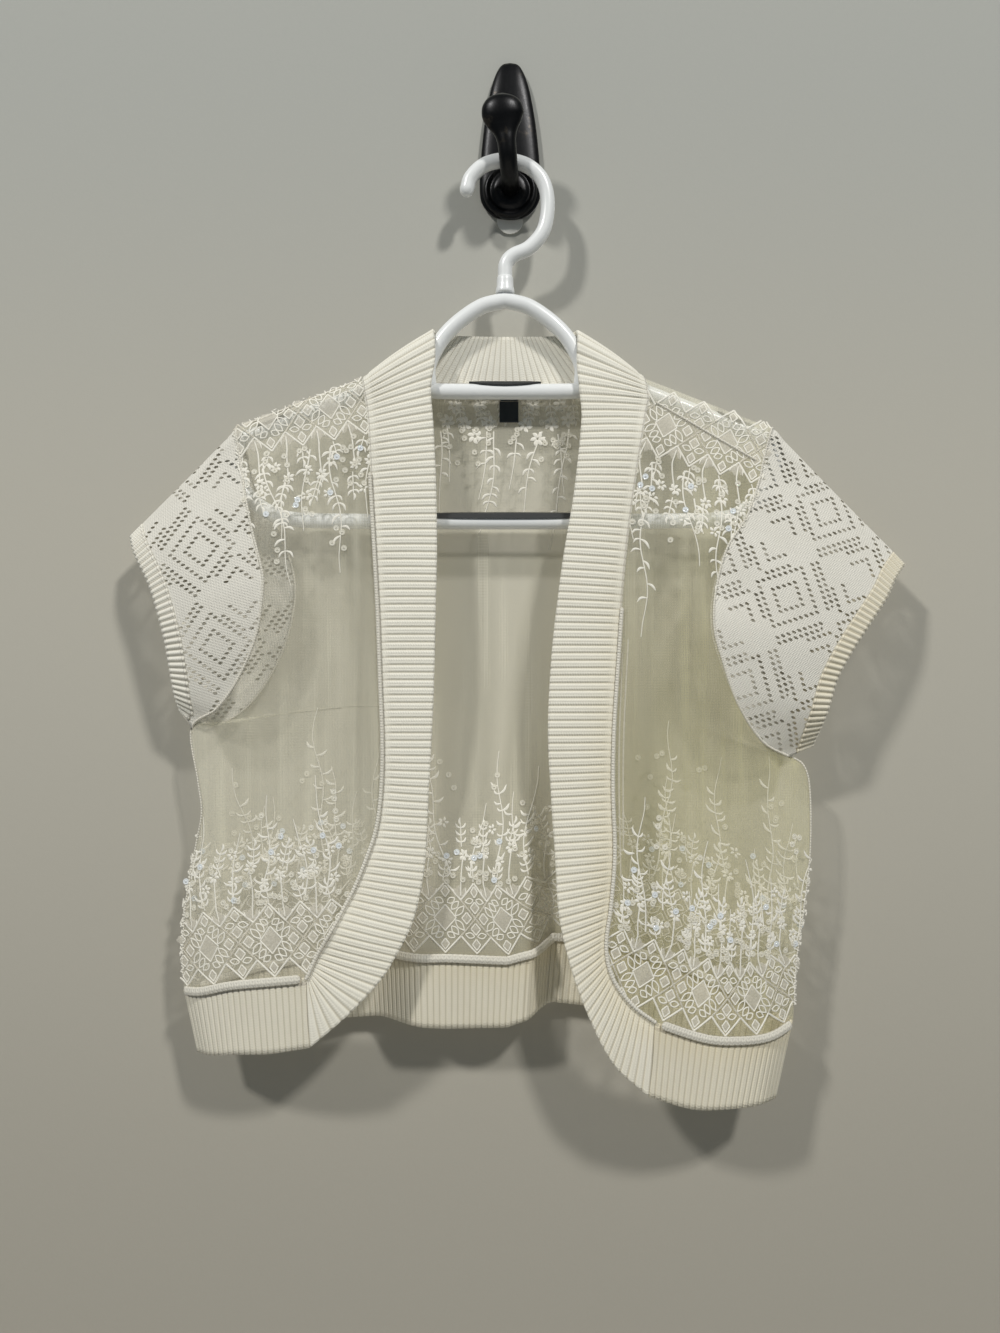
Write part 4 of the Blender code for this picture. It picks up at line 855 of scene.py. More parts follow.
def rib_shader(name, pale, dark, valley_shade, pitch, shade_at):
    """Knit with painted shade in the valleys between ribs; u in the UV runs along the strip.

    A soft dark line runs shade_at from the seam, in the shade of what lies on it.
    """
    shader = Shader(name, roughness=0.92, sheen_weight=0.2, sheen_roughness=0.5)
    u, v, _ = shader.place("UV")
    off = ((u / pitch).math("FRACT") - 0.5).math("ABSOLUTE")
    drift = shader.noise(30.0, 4.0) * 0.75 + shader.noise(330.0, 2.0) * 0.25
    height = (v / 0.0019 + off * 1.2).math("FRACT") - 0.5
    stitch = 1.0 - height.math("ABSOLUTE") * 1.6
    # Colour drifts at random; the stitches' low parts are painted a little darker, as shade
    tone = shader.blend(dark, pale, drift * 0.8 + stitch * 0.25)
    # Painted shade: darker colour in the valleys between ribs
    tone = shader.blend(tone, valley_shade, off.step(0.34, 0.5) * 0.8)
    line = 1.0 - (v / shade_at - 1.0).math("ABSOLUTE").step(0.08, 0.4)
    tone = shader.blend(tone, (138, 128, 124), line * 0.35)
    # Painted warm light: a yellow tint by place, fading to 0.4 of it away from the seam
    warm = painted_warm_light(shader, 0.3, 0.75) * (1.0 - v.step(0.004, 0.03) * 0.6)
    shader.paint(tone, (214, 196, 146), warm * 0.3)
    shader.bump(stitch, 0.0003, 0.7)
    return shader


def knits():
    """The ribbed and plain knits, the rolled edges and the pointelle of the sleeves."""
    cream = (246, 243, 231)
    made = {
        "rib": rib_shader("rib_knit", cream, (228, 223, 208), (198, 191, 172),
                          BAND_PITCH * MM, SEAM_SHADE),
        "cuff": rib_shader("cuff_knit", cream, (226, 221, 208), (180, 172, 155),
                           CUFF_PITCH * MM, SEAM_SHADE),
        "neck": rib_shader("neck_knit", cream, (224, 219, 205), (196, 189, 172),
                           HEM_PITCH * MM, ROLL_SHADE),
        # The hem's tones are darker than the bands' cream: painted shade of the low hems
        "hem": rib_shader("hem_knit", (235, 230, 214), (213, 207, 190), (188, 181, 162),
                          HEM_PITCH * MM, ROLL_SHADE),
        "bead": cloth_shader("rolled_knit", cream, (210, 203, 188), 0.0042, 0.0024, 0.0007),
        "knit": cloth_shader("pointelle_knit", (250, 247, 238), (222, 217, 204),
                             0.0023, 0.0020, 0.0005)}
    chosen, away = pointelle_holes(made["knit"])
    made["knit"].feed("Alpha", 1.0 - chosen * (1.0 - away.step(0.4, 0.48)))
    return made


def nets():
    """Sheer net of the fronts and of the back: a fine see-through mesh with denser pleats."""
    made = {}
    for name, pale, deep, base in (
            ("net", (238, 234, 218), (218, 211, 152), 0.115),
            # The back's net has paler tones than the fronts' net: painted light, lifting it
            # against the shade it hangs in
            ("net_back_painted_light", (252, 248, 230), (246, 240, 208), 0.22)):
        net = made[name] = Shader("sheer_" + name, roughness=0.85, sheen_weight=0.15)
        # Colour: a random drift, and painted warm light that yellows the net towards +x and
        # down
        net.paint(pale, deep, net.noise(7.0, 2.0) * 0.3 + painted_warm_light(net, 0.36, 0.72) * 0.7)
        u, v, _ = net.place("UV")
        cell = ((u * NET_WAVE).math("SINE") * (v * NET_WAVE).math("SINE")).math("ABSOLUTE")
        pleat = net.noise(1.0, 3.0, stretch=(95.0, 30.0, 4.0)).step(0.45, 0.75)
        net.feed("Alpha", base + pleat * 0.16 + (1.0 - cell.step(0.1, 0.55)) * 0.2)
    return made


def plain_finishes():
    """Finishes whose colour is one noise between two tones: look, tones, waves, bump."""
    made = {}
    for key, name, look, *tones in (
            ("thread", "embroidery_thread", dict(roughness=0.62, sheen_weight=0.2),
             (232, 227, 212), (250, 247, 238), 420.0, 0.0004, 0.6),
            ("sequin", "clear_sequin", dict(roughness=0.4, coat_weight=0.3, alpha=0.6),
             (244, 239, 222), (254, 251, 240), 300.0),
            ("bright", "bright_sequin", dict(roughness=0.08, coat_weight=1.0, alpha=0.9),
             (230, 238, 242), (252, 253, 254), 300.0),
            ("grip", "grip_rubber", dict(roughness=0.55),
             (30, 32, 33), (56, 58, 58), 1500.0, 0.0001, 0.6),
            ("strip", "clear_strip", dict(roughness=0.3, alpha=0.85),
             (222, 220, 212), (238, 236, 229), 60.0),
            ("floor", "pale_floor", dict(roughness=0.7),
             (196, 193, 186), (206, 203, 196), 6.0)):
        made[key] = Shader(name, **look)
        made[key].grain(*tones)
    return made


def make_materials():
    """All materials by name."""
    made = {**knits(), **nets(), **plain_finishes()}
    fill = made["fill"] = Shader("filled_stitch", roughness=0.8, sheen_weight=0.2)
    grain = fill.grain((206, 200, 184), (236, 231, 218), 900.0, 0.0003, 0.7)
    fill.feed("Alpha", 0.35 + grain * 0.4)

    plastic = made["plastic"] = Shader("white_plastic", roughness=0.28, coat_weight=0.25)
    plastic.paint((234, 236, 236), (244, 245, 244), plastic.noise(20.0))
    plastic.bump(plastic.noise(700.0, 2.0), 0.00004, 0.5)

    label = made["label"] = Shader("woven_label", roughness=0.8)
    x, y, _ = label.place()
    weave = (x * 9000.0).math("SINE") * (y * 9000.0).math("SINE")
    label.paint((22, 28, 32), (44, 50, 54), weave * 0.5 + 0.5)
    label.bump(weave, 0.0001, 0.6)

    metal = made["metal"] = Shader("oiled_bronze_painted_highlights", roughness=0.3, metallic=0.85)
    grain = metal.noise(900.0, 2.0)
    # Bronze patches in the dark metal: partly rubbed-through bronze, partly painted highlight
    metal.paint((34, 34, 35), (86, 78, 68), metal.noise(55.0, 5.0, 0.65).step(0.58, 0.78))
    metal.feed("Roughness", 0.26 + grain * 0.16)
    metal.bump(grain, 0.00005, 0.6)

    wall = made["wall"] = Shader("painted_wall", roughness=0.9)
    _, _, z = wall.place()
    grain = wall.noise(500.0, 4.0)
    # Painted light falloff: the wall is darker and warmer towards the floor, and darker again
    # at the top
    tone = wall.blend((170, 165, 153), (186, 182, 170), z.step(-1.0, -0.35))
    tone = wall.blend(tone, (171, 172, 166), z.step(-0.35, 0.1))
    wall.paint(tone, (190, 188, 181), grain * 0.12)
    wall.bump(grain, 0.0002, 0.25)
    # See-through from behind and for the lamp behind it
    behind = Value(wall.tree, wall.add("ShaderNodeNewGeometry").outputs["Backfacing"])
    shadow = Value(wall.tree, wall.add("ShaderNodeLightPath").outputs["Is Shadow Ray"])
    wall.feed("Alpha", (1.0 - behind) * (1.0 - shadow))
    return {name: shader.mat for name, shader in made.items()}


# Knitted strips

def rib_profile(phase):
    """Height of a rib of two knit columns over one pitch, from 0 to 1.

    The columns share one broad ridge, 1.3 sin(pi phase) cut off at 1. The shallow groove
    between them takes away 0.28 at 0.56 of the pitch, fading as a bell of width 0.07.
    """
    ridge = np.clip(1.3 * np.sin(np.pi * phase), 0, 1)
    return ridge * (1 - 0.28 * np.exp(-((phase - 0.56) / 0.07) ** 2))


def fine_profile(phase):
    """Height of a plain rib over one pitch: 0.5 - 0.75 cos(2 pi phase), cut off at 0 and 1."""
    return np.clip(0.5 + 0.75 * np.cos((phase - 0.5) * 2 * np.pi), 0, 1)


def ribbed(name, seam, free, pitch, lift, mat, across, profile=rib_profile, steps=RIB_STEPS,
           curl=0.0, on_plain=False, selvedge=0.0, closed=False):
    """Ribbed strip between two matching edge lines; gives the piece and its surface's grid.

    The surface is seam (1 - t) + free t, crowned by curl sin(pi t). The ribs rise by lift
    times the profile, and stay off the hanger's tubes; on_plain puts them on top of the
    solid's own wall. Within selvedge of the seam they are flatter, and the edge curls up
    like a bell of 0.9.
    """
    run = lengths((seam + free) / 2)
    count = max(int(round(run[-1] / pitch)), 1)
    at = np.linspace(0, run[-1], count * steps + 1)
    if closed:
        at = at[:-1]
    where = np.interp(at, run, np.arange(len(seam)))
    a, b = linear_rows(seam, where), linear_rows(free, where)
    t = np.linspace(0, 1, across)[None, :, None]
    grid = a[:, None] * (1 - t) + b[:, None] * t
    outward = grid - grid.mean(axis=(0, 1)) if closed else FRONT
    n = facing(normals(grid, closed), outward)
    grid = clear_of_hanger(grid + n * curl * np.sin(np.pi * t))
    n = cloth_normals(grid, outward, closed)
    width = np.linalg.norm(b - a, axis=1)[:, None, None] * t
    height = lift * profile(at / run[-1] * count % 1.0)[:, None, None] * np.ones_like(t)
    if selvedge:
        height = height * (0.25 + 0.75 * ramp(width, selvedge * 0.5, selvedge * 1.2))
        height = height + 0.9 * np.exp(-((width - 0.3 * selvedge) / (0.22 * selvedge)) ** 2)
    face = grid + n * RIB_T if on_plain else grid
    room = np.linalg.norm(to_hanger(face), axis=-1, keepdims=True) - TUBE_R - 0.3
    height = np.minimum(height, np.maximum(room, 0))
    back = np.minimum(0.6 * height, 0.7)
    along = at / run[-1] * count * pitch
    uv = np.stack([np.broadcast_to(along[:, None], grid.shape[:2]), width[..., 0]], -1)
    item = add_wall(name + "_knit", face + n * height, face - n * (RIB_T - 0.9 + back * 0.5),
                    mat, uv, name, closed)
    return item, grid


# Thread

class Drape:
    """Depth of a hanging surface over (x, z), kept in square cells.

    A cell's depth is the mean of the surface points in it. Cells outside take the mean of
    their neighbours, ring after ring outwards, so that readings at the edge stay on the
    surface. The first ring still counts as inside.
    """

    CELL = 2.0
    MARGIN = 12
    GROWTH = 9

    def __init__(self, grid, *others, in_front=0.0):
        part = np.arange(4)[None, :, None, None] / 4     # four points for each cell's side
        flat = []
        for each in (grid, *others):
            for _ in range(2):
                denser = each[:-1, None] * (1 - part) + each[1:, None] * part
                each = np.moveaxis(denser.reshape(-1, *each.shape[1:]), 1, 0)
            flat.append(each.reshape(-1, 3))
        flat = np.vstack(flat)
        flat = flat[flat[:, 1] < in_front] - (0, 0.15, 0)
        xz = flat[:, (0, 2)]
        self.low = xz.min(axis=0) - self.MARGIN
        size = np.ceil((xz.max(axis=0) + self.MARGIN - self.low) / self.CELL).astype(int) + 1
        cell = tuple(np.round((xz - self.low) / self.CELL).astype(int).T)
        total, count = np.zeros(size), np.zeros(size)
        np.add.at(total, cell, flat[:, 1])
        np.add.at(count, cell, 1)
        depth = np.where(count > 0, total / np.maximum(count, 1), 0.0)
        known = count > 0
        for step in range(self.GROWTH):
            near_sum, near = np.zeros(size), np.zeros(size)
            for dx, dz in ((1, 0), (-1, 0), (0, 1), (0, -1)):
                near_sum += np.roll(depth * known, (dx, dz), (0, 1))
                near += np.roll(known, (dx, dz), (0, 1))
            new = ~known & (near > 0)
            depth = np.where(new, near_sum / np.maximum(near, 1), depth)
            known = known | new
            if step == 0:
                self.inside = known.copy()
        self.depth = depth

    def read(self, table, x, z):
        """Bilinear reading of a table of cells."""
        fx = np.clip((x - self.low[0]) / self.CELL, 0, table.shape[0] - 1.001)
        fz = np.clip((z - self.low[1]) / self.CELL, 0, table.shape[1] - 1.001)
        i, j = fx.astype(int), fz.astype(int)
        a, b = fx - i, fz - j
        return ((1 - a) * (1 - b) * table[i, j] + a * (1 - b) * table[i + 1, j]
                + (1 - a) * b * table[i, j + 1] + a * b * table[i + 1, j + 1])

    def at(self, x, z):
        """Points on the surface and their normals towards the viewer."""
        y = self.read(self.depth, x, z)
        step = self.CELL
        slope_x = self.read(self.depth, x + step, z) - self.read(self.depth, x - step, z)
        slope_z = self.read(self.depth, x, z + step) - self.read(self.depth, x, z - step)
        n = np.stack([slope_x / (2 * step), -np.ones_like(y), slope_z / (2 * step)], -1)
        return np.stack([x, y, z], -1), unit(n)

    def holds(self, x, z):
        """Whether places lie on the surface."""
        return self.read(self.inside.astype(float), x, z) > 0.6


def stroke(points, width, height=0.5, shape="even", step=1.3):
    """One run of thread in the chart: points along it with width and height at each."""
    points = np.array(points, float)
    dense = smooth_rows(points, between(len(points), 12))
    run = lengths(dense)
    count = max(int(run[-1] / step), 3 if shape == "even" else 6)
    t = np.linspace(0, 1, count + 1)
    wide = {"even": np.ones_like(t),
            "leaf": np.sin(np.pi * np.clip(t * 0.93 + 0.05, 0, 1)) ** 0.75,
            "diamond": 1 - np.abs(2 * t - 1) * 0.97,
            "taper": 1 - 0.55 * t}[shape]
    line = linear_rows(dense, t * run[-1], run)
    return line, wide * width, height * np.minimum(1.0, wide * 1.5)


def sew(name, strokes, drape, mats, place):
    """Ribbons of thread on a surface: crowned strips along all the strokes at once.

    Across a strip the thread stands 0.12 + height * sqrt(1 - side^2) over the surface.
    """
    lines, widths, heights, picks = zip(*strokes)
    sizes = [len(line) for line in lines]
    wide, high = np.concatenate(widths), np.concatenate(heights)
    pick, number = np.repeat(picks, sizes), np.repeat(np.arange(len(sizes)), sizes)
    xz = place(np.vstack(lines))
    x, z = xz.T
    same = number[1:] == number[:-1]
    way = np.zeros_like(xz)
    step = (xz[1:] - xz[:-1]) * same[:, None]
    way[1:] += step
    way[:-1] += step
    way = unit(way)
    out = []
    for side in (-1.0, 0.0, 1.0):
        point, n = drape.at(x - way[:, 1] * wide / 2 * side, z + way[:, 0] * wide / 2 * side)
        out.append(point + n * (0.12 + high * (1 - side * side) ** 0.5)[:, None])
    points = np.stack(out, axis=1)
    inside = drape.holds(x, z)
    first = np.nonzero(same & inside[1:] & inside[:-1])[0]
    table = numbers(*points.shape[:2])
    faces = quads(np.stack([table[first], table[first + 1]], 1))
    used = np.unique(faces)
    order = np.full(table.size, -1)
    order[used] = np.arange(len(used))
    return add_mesh(name, points.reshape(-1, 3)[used], order[faces], mats,
                    picks=np.repeat(pick[first], points.shape[1] - 1))


def discs(name, centres, drape, mat, place, radius):
    """Small cupped discs with a raised rim and a bead in the middle, on a surface."""
    xz = place(np.array(centres, float))
    xz = xz[drape.holds(*xz.T)]
    centre, n = drape.at(*xz.T)
    side = unit(np.cross(n, (0.0, 0.0, 1.0)))
    up = np.cross(side, n)
    turn = turns(12, 0)[None, :, None]
    profile = ((0.18, 1.2), (0.3, 0.75), (0.55, 0.55), (0.8, 0.8), (0.95, 0.95), (1.0, 0.5))
    points = np.stack([
        centre[:, None] + n[:, None] * h
        + radius * r * (side[:, None] * np.cos(turn) + up[:, None] * np.sin(turn))
        for r, h in profile], axis=1)
    table = np.arange(points.size // 3).reshape(points.shape[:3])
    faces = ring_quads(table).tolist() + table[:, 0].tolist()
    return add_mesh(name, points, faces, [mat])


# Lattice motif

PITCH = 48.8              # from one column of filled diamonds to the next
HALF = PITCH / 2
HIGH = 54.0               # height of the lattice
CROSSING = 13.2           # how far from the lattice's edges its cords cross
THREAD, FILLED = 0, 1     # places of the two materials in a sewn piece
PETALS = (                # beside a big diamond: foot and tip, from the column and the edge
    (1.5, 15.5, 7.5, 12.0), (4.8, 20.6, 10.5, 14.2), (8.0, 25.4, 15.0, 17.6))
DISC_R = 2.3
BRIGHT_R = 2.4


def cord(points, width=1.3, height=0.55, shape="even"):
    """Plain thread through the points."""
    return (*stroke(points, width, height, shape), THREAD)


def filled(low, high, width):
    """Filled diamond from low to high."""
    return (*stroke((low, high), width, 0.45, "diamond", step=1.0), FILLED)


def lens(a, b, width):
    """Outline of a petal between two points of the chart."""
    a, b = np.array(a, float), np.array(b, float)
    way = b - a
    side = np.array((-way[1], way[0])) / np.hypot(*way) * width / 2
    return [cord((a, a + way * 0.28 + side * sign * 0.85, a + way * 0.6 + side * sign, b),
                 1.0, 0.45) for sign in (1, -1)]


def box_motif(s, t, wide, tall):
    """Filled diamond with a cord round it."""
    ring = ((s - wide / 2, t), (s, t + tall / 2), (s + wide / 2, t), (s, t - tall / 2))
    out = [filled((s, t - tall * 0.46), (s, t + tall * 0.46), wide * 0.92)]
    return out + [cord((a, b), 1.1) for a, b in zip(ring, ring[1:] + ring[:1])]


def lattice(first, count):
    """Strokes of the lattice from column number first; even columns hold the big diamond."""
    out = []
    for k in range(first, first + count):
        s = k * HALF
        for end in (s - HALF / 2, s + HALF / 2):
            for t, tip in ((0.0, CROSSING), (HIGH, HIGH - CROSSING)):
                out.append(cord(((s, t), (end, tip)), 1.4, 0.7))
        for t in (6.8, HIGH - 6.8):
            out += box_motif(s, t, 6.4, 8.6)
        if k % 2 == 0:
            out += big_diamond(s)
        else:
            out += four_diamonds(s)
    return out


def big_diamond(s):
    """Middle of an even column: big diamond, crossing cords, and petals beside it."""
    out = box_motif(s, HIGH / 2, 17, 20)
    for sx in (-1, 1):
        for t, way in ((0.0, 1), (HIGH, -1)):
            out.append(cord(((s + sx * HALF / 2, t + way * CROSSING),
                             (s + sx * HALF, HIGH / 2)), 1.3, 0.6))
            for dx, dt, ex, et in PETALS:
                out += lens((s + sx * dx, t + way * dt), (s + sx * ex, t + way * et), 4.2)
    return out


def four_diamonds(s):
    """Middle of an odd column: four diamonds in a cross, cords and four petals."""
    out = []
    for ds, dt in ((-7.4, 0.0), (7.4, 0.0), (0.0, -8.2), (0.0, 8.2)):
        out += box_motif(s + ds, HIGH / 2 + dt, 8.0, 9.0)
    for t, way in ((0.0, 1), (HIGH, -1)):
        for sx in (-1, 1):
            out.append(cord(((s + sx * HALF / 2, t + way * CROSSING), (s, HIGH / 2)), 1.3, 0.6))
            out += lens((s + sx * 1.2, t + way * 13.0), (s + sx * 8.6, t + way * 14.6), 4.0)
    return out


# Flowers and vines

def compass(angle):
    """Way in the chart for an angle in degrees from up."""
    return np.array((np.sin(np.radians(angle)), np.cos(np.radians(angle))))


def leaf(base, angle, length, width, mat=THREAD):
    """One leaf from its base, angle in degrees from up."""
    way = compass(angle) * length
    base = np.array(base, float)
    bend = np.array((way[1], -way[0])) * 0.18 * np.sign(angle + 0.01)
    return (*stroke((base, base + way * 0.5 + bend, base + way), width, 0.5, "leaf", 1.0), mat)


def star(centre, size, count, turn):
    """Flower of small leaves round an open middle."""
    angles = [turn + k * 360 / count for k in range(count)]
    return [leaf(np.array(centre) + compass(angle), angle, size * 0.8, size * 0.5)
            for angle in angles]


def tulip(base, size, lean=0.0):
    """Three filled petals that open upwards, between two thin ones."""
    out = [leaf(base, lean + a, size * f, size * 0.45, FILLED)
           for a, f in ((-30, 0.9), (0, 1), (30, 0.9))]
    return out + [leaf(base, lean + a, size, 1.2) for a in (-38, 38)]


def sprig(base, lean, count, step, size=5.5):
    """Stem with paired leaves."""
    base = np.array(base, float)
    way = compass(lean)
    out = [cord((base, base + way * step * count), 0.9, 0.45)]
    for k in range(count):
        at = base + way * step * (k + 0.6)
        out += [leaf(at, lean + 48, size, 1.7), leaf(at, lean - 48, size, 1.7)]
    out.append(leaf(base + way * step * count, lean, size, 1.9))
    return out


def vine(s, low, high, rng, sway=2.4, tail=26.0):
    """Stem with hooked leaves on alternate sides, and a thin bare tail at its end.

    The stem leans, and bends by sway sin(0.085 t) and by 4.6 sin(0.03 t).
    """
    t = np.linspace(low, high, max(int((high - low) / 10), 5))
    lean, turn = rng.uniform(-0.16, 0.16), rng.uniform(0, 6)

    def bend(at):
        wave = sway * np.sin(at * 0.085 + turn)
        return s + (at - low) * lean + wave + 4.6 * np.sin(at * 0.03 + turn * 2)
    out = [cord(np.column_stack([bend(t), t]), 1.25, 0.5, "taper")]
    side = 1 if rng.random() < 0.5 else -1
    at = low + 5.0
    while at < high - tail:
        foot = (bend(at), at)
        way = rng.uniform(38, 70)
        size = rng.uniform(6.5, 9.5)
        out.append(leaf(foot, side * way, size, rng.uniform(1.6, 2.3)))
        if rng.random() < 0.3:
            out.append(leaf(foot, -side * way, size * 0.75, 1.6))
        side = -side
        at += 8.5 * rng.uniform(0.65, 1.35)
    return out


def garden(first, count, rng, tall):
    """Flowers, sprigs and vines that stand on the lattice, and places for the discs."""
    out, spots, bright = [], [], []
    for k in range(first, first + count):
        s = k * HALF
        out += tulip((s + HALF / 2, HIGH - 11), 9.0, rng.uniform(-8, 8))
        stem = s + HALF / 2 + rng.uniform(-2.5, 2.5)
        out.append(cord(((s + HALF / 2, HIGH - 10), (stem, HIGH + 6), (stem + 2, HIGH + 24)),
                        1.1))
        out += star((stem + 2, HIGH + rng.uniform(20, 28)), 4.6, 6, rng.uniform(0, 60))
        out += star((s + rng.uniform(-4, 4), HIGH + rng.uniform(12, 20)), 4.2, 6,
                    rng.uniform(0, 60))
        out += star((s + rng.uniform(-6, 6), HIGH + rng.uniform(30, 46)), 4.0, 5, 10)
        out += sprig((s + rng.uniform(-2, 2), HIGH + 1), rng.uniform(-18, 18), 2, 5.0, 6.5)
        out += sprig((stem, HIGH + 27), rng.uniform(-22, 22), 3, 5.4, 6.0)
        height = rng.uniform(*tall) * (1.0 if k % 2 == 0 else 0.72) - HIGH
        out += vine(s + rng.uniform(-4, 4), HIGH + 4, HIGH + height, rng)
        if rng.random() < 0.7:
            out += vine(s + HALF / 2 + rng.uniform(-3, 3), HIGH + 24, HIGH + height * 0.66, rng,
                        tail=8.0)
        for _ in range(9):
            spots.append((s + rng.uniform(-HALF / 2, HALF / 2),
                          HIGH + rng.uniform(0, 1) ** 1.5 * height * 0.9))
        for _ in range(2):
            if rng.random() < 0.75:
                bright.append((s + rng.uniform(-HALF / 2, HALF / 2), HIGH + rng.uniform(4, 50)))
    return out, spots, bright


def hanging(base, up, plumb):
    """Chart to (x, z): along the baseline, square to it through the lattice, then plumb."""
    run = lengths(base)
    way = np.gradient(base, run, axis=0)
    calm = np.exp(-((run[:, None] - run) / 30.0) ** 2)
    square = unit(calm @ np.column_stack([-way[:, 1], way[:, 0]]) * up)

    def place(chart, origin):
        s, t = chart[:, 0] + origin, chart[:, 1]
        over = s - np.clip(s, run[0], run[-1])
        line = linear_rows(base, s, run) + over[:, None] * way[0]
        return line + linear_rows(square, s, run) * np.minimum(t, HIGH)[:, None] \
            + np.array((0.0, plumb)) * np.maximum(t - HIGH, 0)[:, None]
    return place


# Embroidery of the panels

LATTICE_LIFT = 3.0        # the lattice starts this far over the hem's seam
# On the hems: x of column 0, first column, number of columns, heights of the vines
HEM_RUNS = {"back": (-1.4, -11, 21, (150, 196)), "right": (-177.0, -2, 6, (125, 165)),
            "left": (136.3, -3, 8, (125, 165))}
# On the shoulders: two points (x, z) of the lattice's lower edge, first column, number
SHOULDER_RUNS = {"right": (((-182.8, -257.6), (-116.7, -246.0)), -2, 8),
                 "left": (((112.3, -263.8), (182.5, -282.5)), -3, 8)}
SHOULDER_TALL = (150, 200)
SPARE = 60.0              # the shoulders' lattice runs on this far past both points


def embroider(name, drape, place, first, count, tall, m, rng):
    """Lattice, flowers and discs of one run of the motif."""
    threads = [m["thread"], m["fill"]]
    strokes, spots, bright = garden(first, count, rng, tall)
    return [sew("lattice_" + name, lattice(first, count), drape, threads, place),
            sew("flowers_" + name, strokes, drape, threads, place),
            discs("discs_" + name, spots, drape, m["sequin"], place, DISC_R),
            discs("bright_discs_" + name, bright, drape, m["bright"], place, BRIGHT_R)]


def hem_sewing(side, grid, m, rng):
    """The motif along a panel's hem, its vines standing straight up."""
    origin_x, *run_of = HEM_RUNS[side]
    base = grid[:, -1][:, (0, 2)] + (0, LATTICE_LIFT)
    way = np.sign(base[-1, 0] - base[0, 0])
    origin = float(np.interp(way * origin_x, way * base[:, 0], lengths(base)))
    place_at = hanging(base, way, 1.0)

    def place(chart):
        return place_at(chart, origin)
    return embroider(side, Drape(grid), place, *run_of, m, rng)


def shoulder_sewing(side, grids, m, rng):
    """The same motif hung from a shoulder, its vines falling straight down.

    Its baseline lies the lattice's height above the line through the two low points.
    """
    low, *run_of = SHOULDER_RUNS[side]
    low = np.array(low, float)
    long = lengths(low)[-1]
    ends = np.linspace(-SPARE, long + SPARE, 60)
    way = unit(low[1:] - low[:-1])
    base = linear_rows(low, ends, (0.0, long)) \
        + (np.minimum(ends, 0) + np.maximum(ends - long, 0))[:, None] * way
    way = np.gradient(base, axis=0)
    up = unit(np.column_stack([-way[:, 1], way[:, 0]]) * np.sign(way[:, :1]))
    place_at = hanging(base + up * HIGH, -np.sign(way[0, 0]), -1.0)

    def place(chart):
        return place_at(chart, SPARE)
    drape = Drape(*grids, in_front=HANGER_Y - 2)
    return embroider("shoulder_" + side, drape, place, *run_of, SHOULDER_TALL, m, rng)


# Below the back neck: middles of the stars, and x, top and foot of the vines
NECK_STARS = ((-50, -228), (-36, -230), (-17, -229), (12, -231), (33, -230), (46, -227),
              (-28, -240), (22, -242), (-44, -216), (40, -215), (-24, -214), (18, -214))
NECK_VINES = ((-55.5, -236, -300), (-46, -232, -276), (-21, -236, -290), (-15, -236, -320),
              (6, -240, -282), (24, -236, -308), (33, -238, -286), (41, -234, -330))


def as_drawn(chart):
    """A chart that is drawn in (x, z)."""
    return chart


def falling(strokes):
    """Strokes drawn upwards, turned upside down."""
    return [(line * (1, -1), *rest) for line, *rest in strokes]


def neck_sewing(grid, m, rng):
    """Stars and falling vines below the back neck."""
    out = []
    for x, z in NECK_STARS:
        out += star((x, z), 6.4, 6, rng.uniform(0, 60))
    for x, top, low in NECK_VINES:
        out += falling(vine(x, -top, -low, rng, 1.2))
    for x in (-46, -30, -12, 8, 26, 44):
        out += falling(tulip((x, 206), 10) + sprig((x + 5, 213), 8, 3, 4.6))
    drape = Drape(grid[:, 4:])
    spots = np.column_stack([rng.uniform(-58, 48, 40), rng.uniform(-262, -212, 40)])
    return [sew("flowers_neck", out, drape, [m["thread"], m["fill"]], as_drawn),
            discs("discs_neck", spots, drape, m["sequin"], as_drawn, DISC_R)]


def long_stems(grid, m):
    """Two stems that run down the left front beside its band, with a leaf at the foot."""
    out = []
    for x, dx, top, low in ((84.5, -2.0, -412, -580), (89.0, -4.5, -402, -560)):
        line = ((x, top), (x - 2 + dx * 0.4, (top + low) / 2), (x + dx, low))
        out.append((*stroke(line, 1.1, 0.4), FILLED))
        out.append(leaf((x + dx, low), 105, 8.5, 2.2))
    return [sew("long_stems", out, Drape(grid), [m["thread"], m["fill"]], as_drawn)]


# Garment

POINTELLE = {        # middle of a diamond (x, z), way to the next one, side of the cuff
    "right": ((-234.0, -334.0), (0.17, -0.985), -1),
    "left": ((207.3, -370.5), (-0.46, -0.888), 1)}


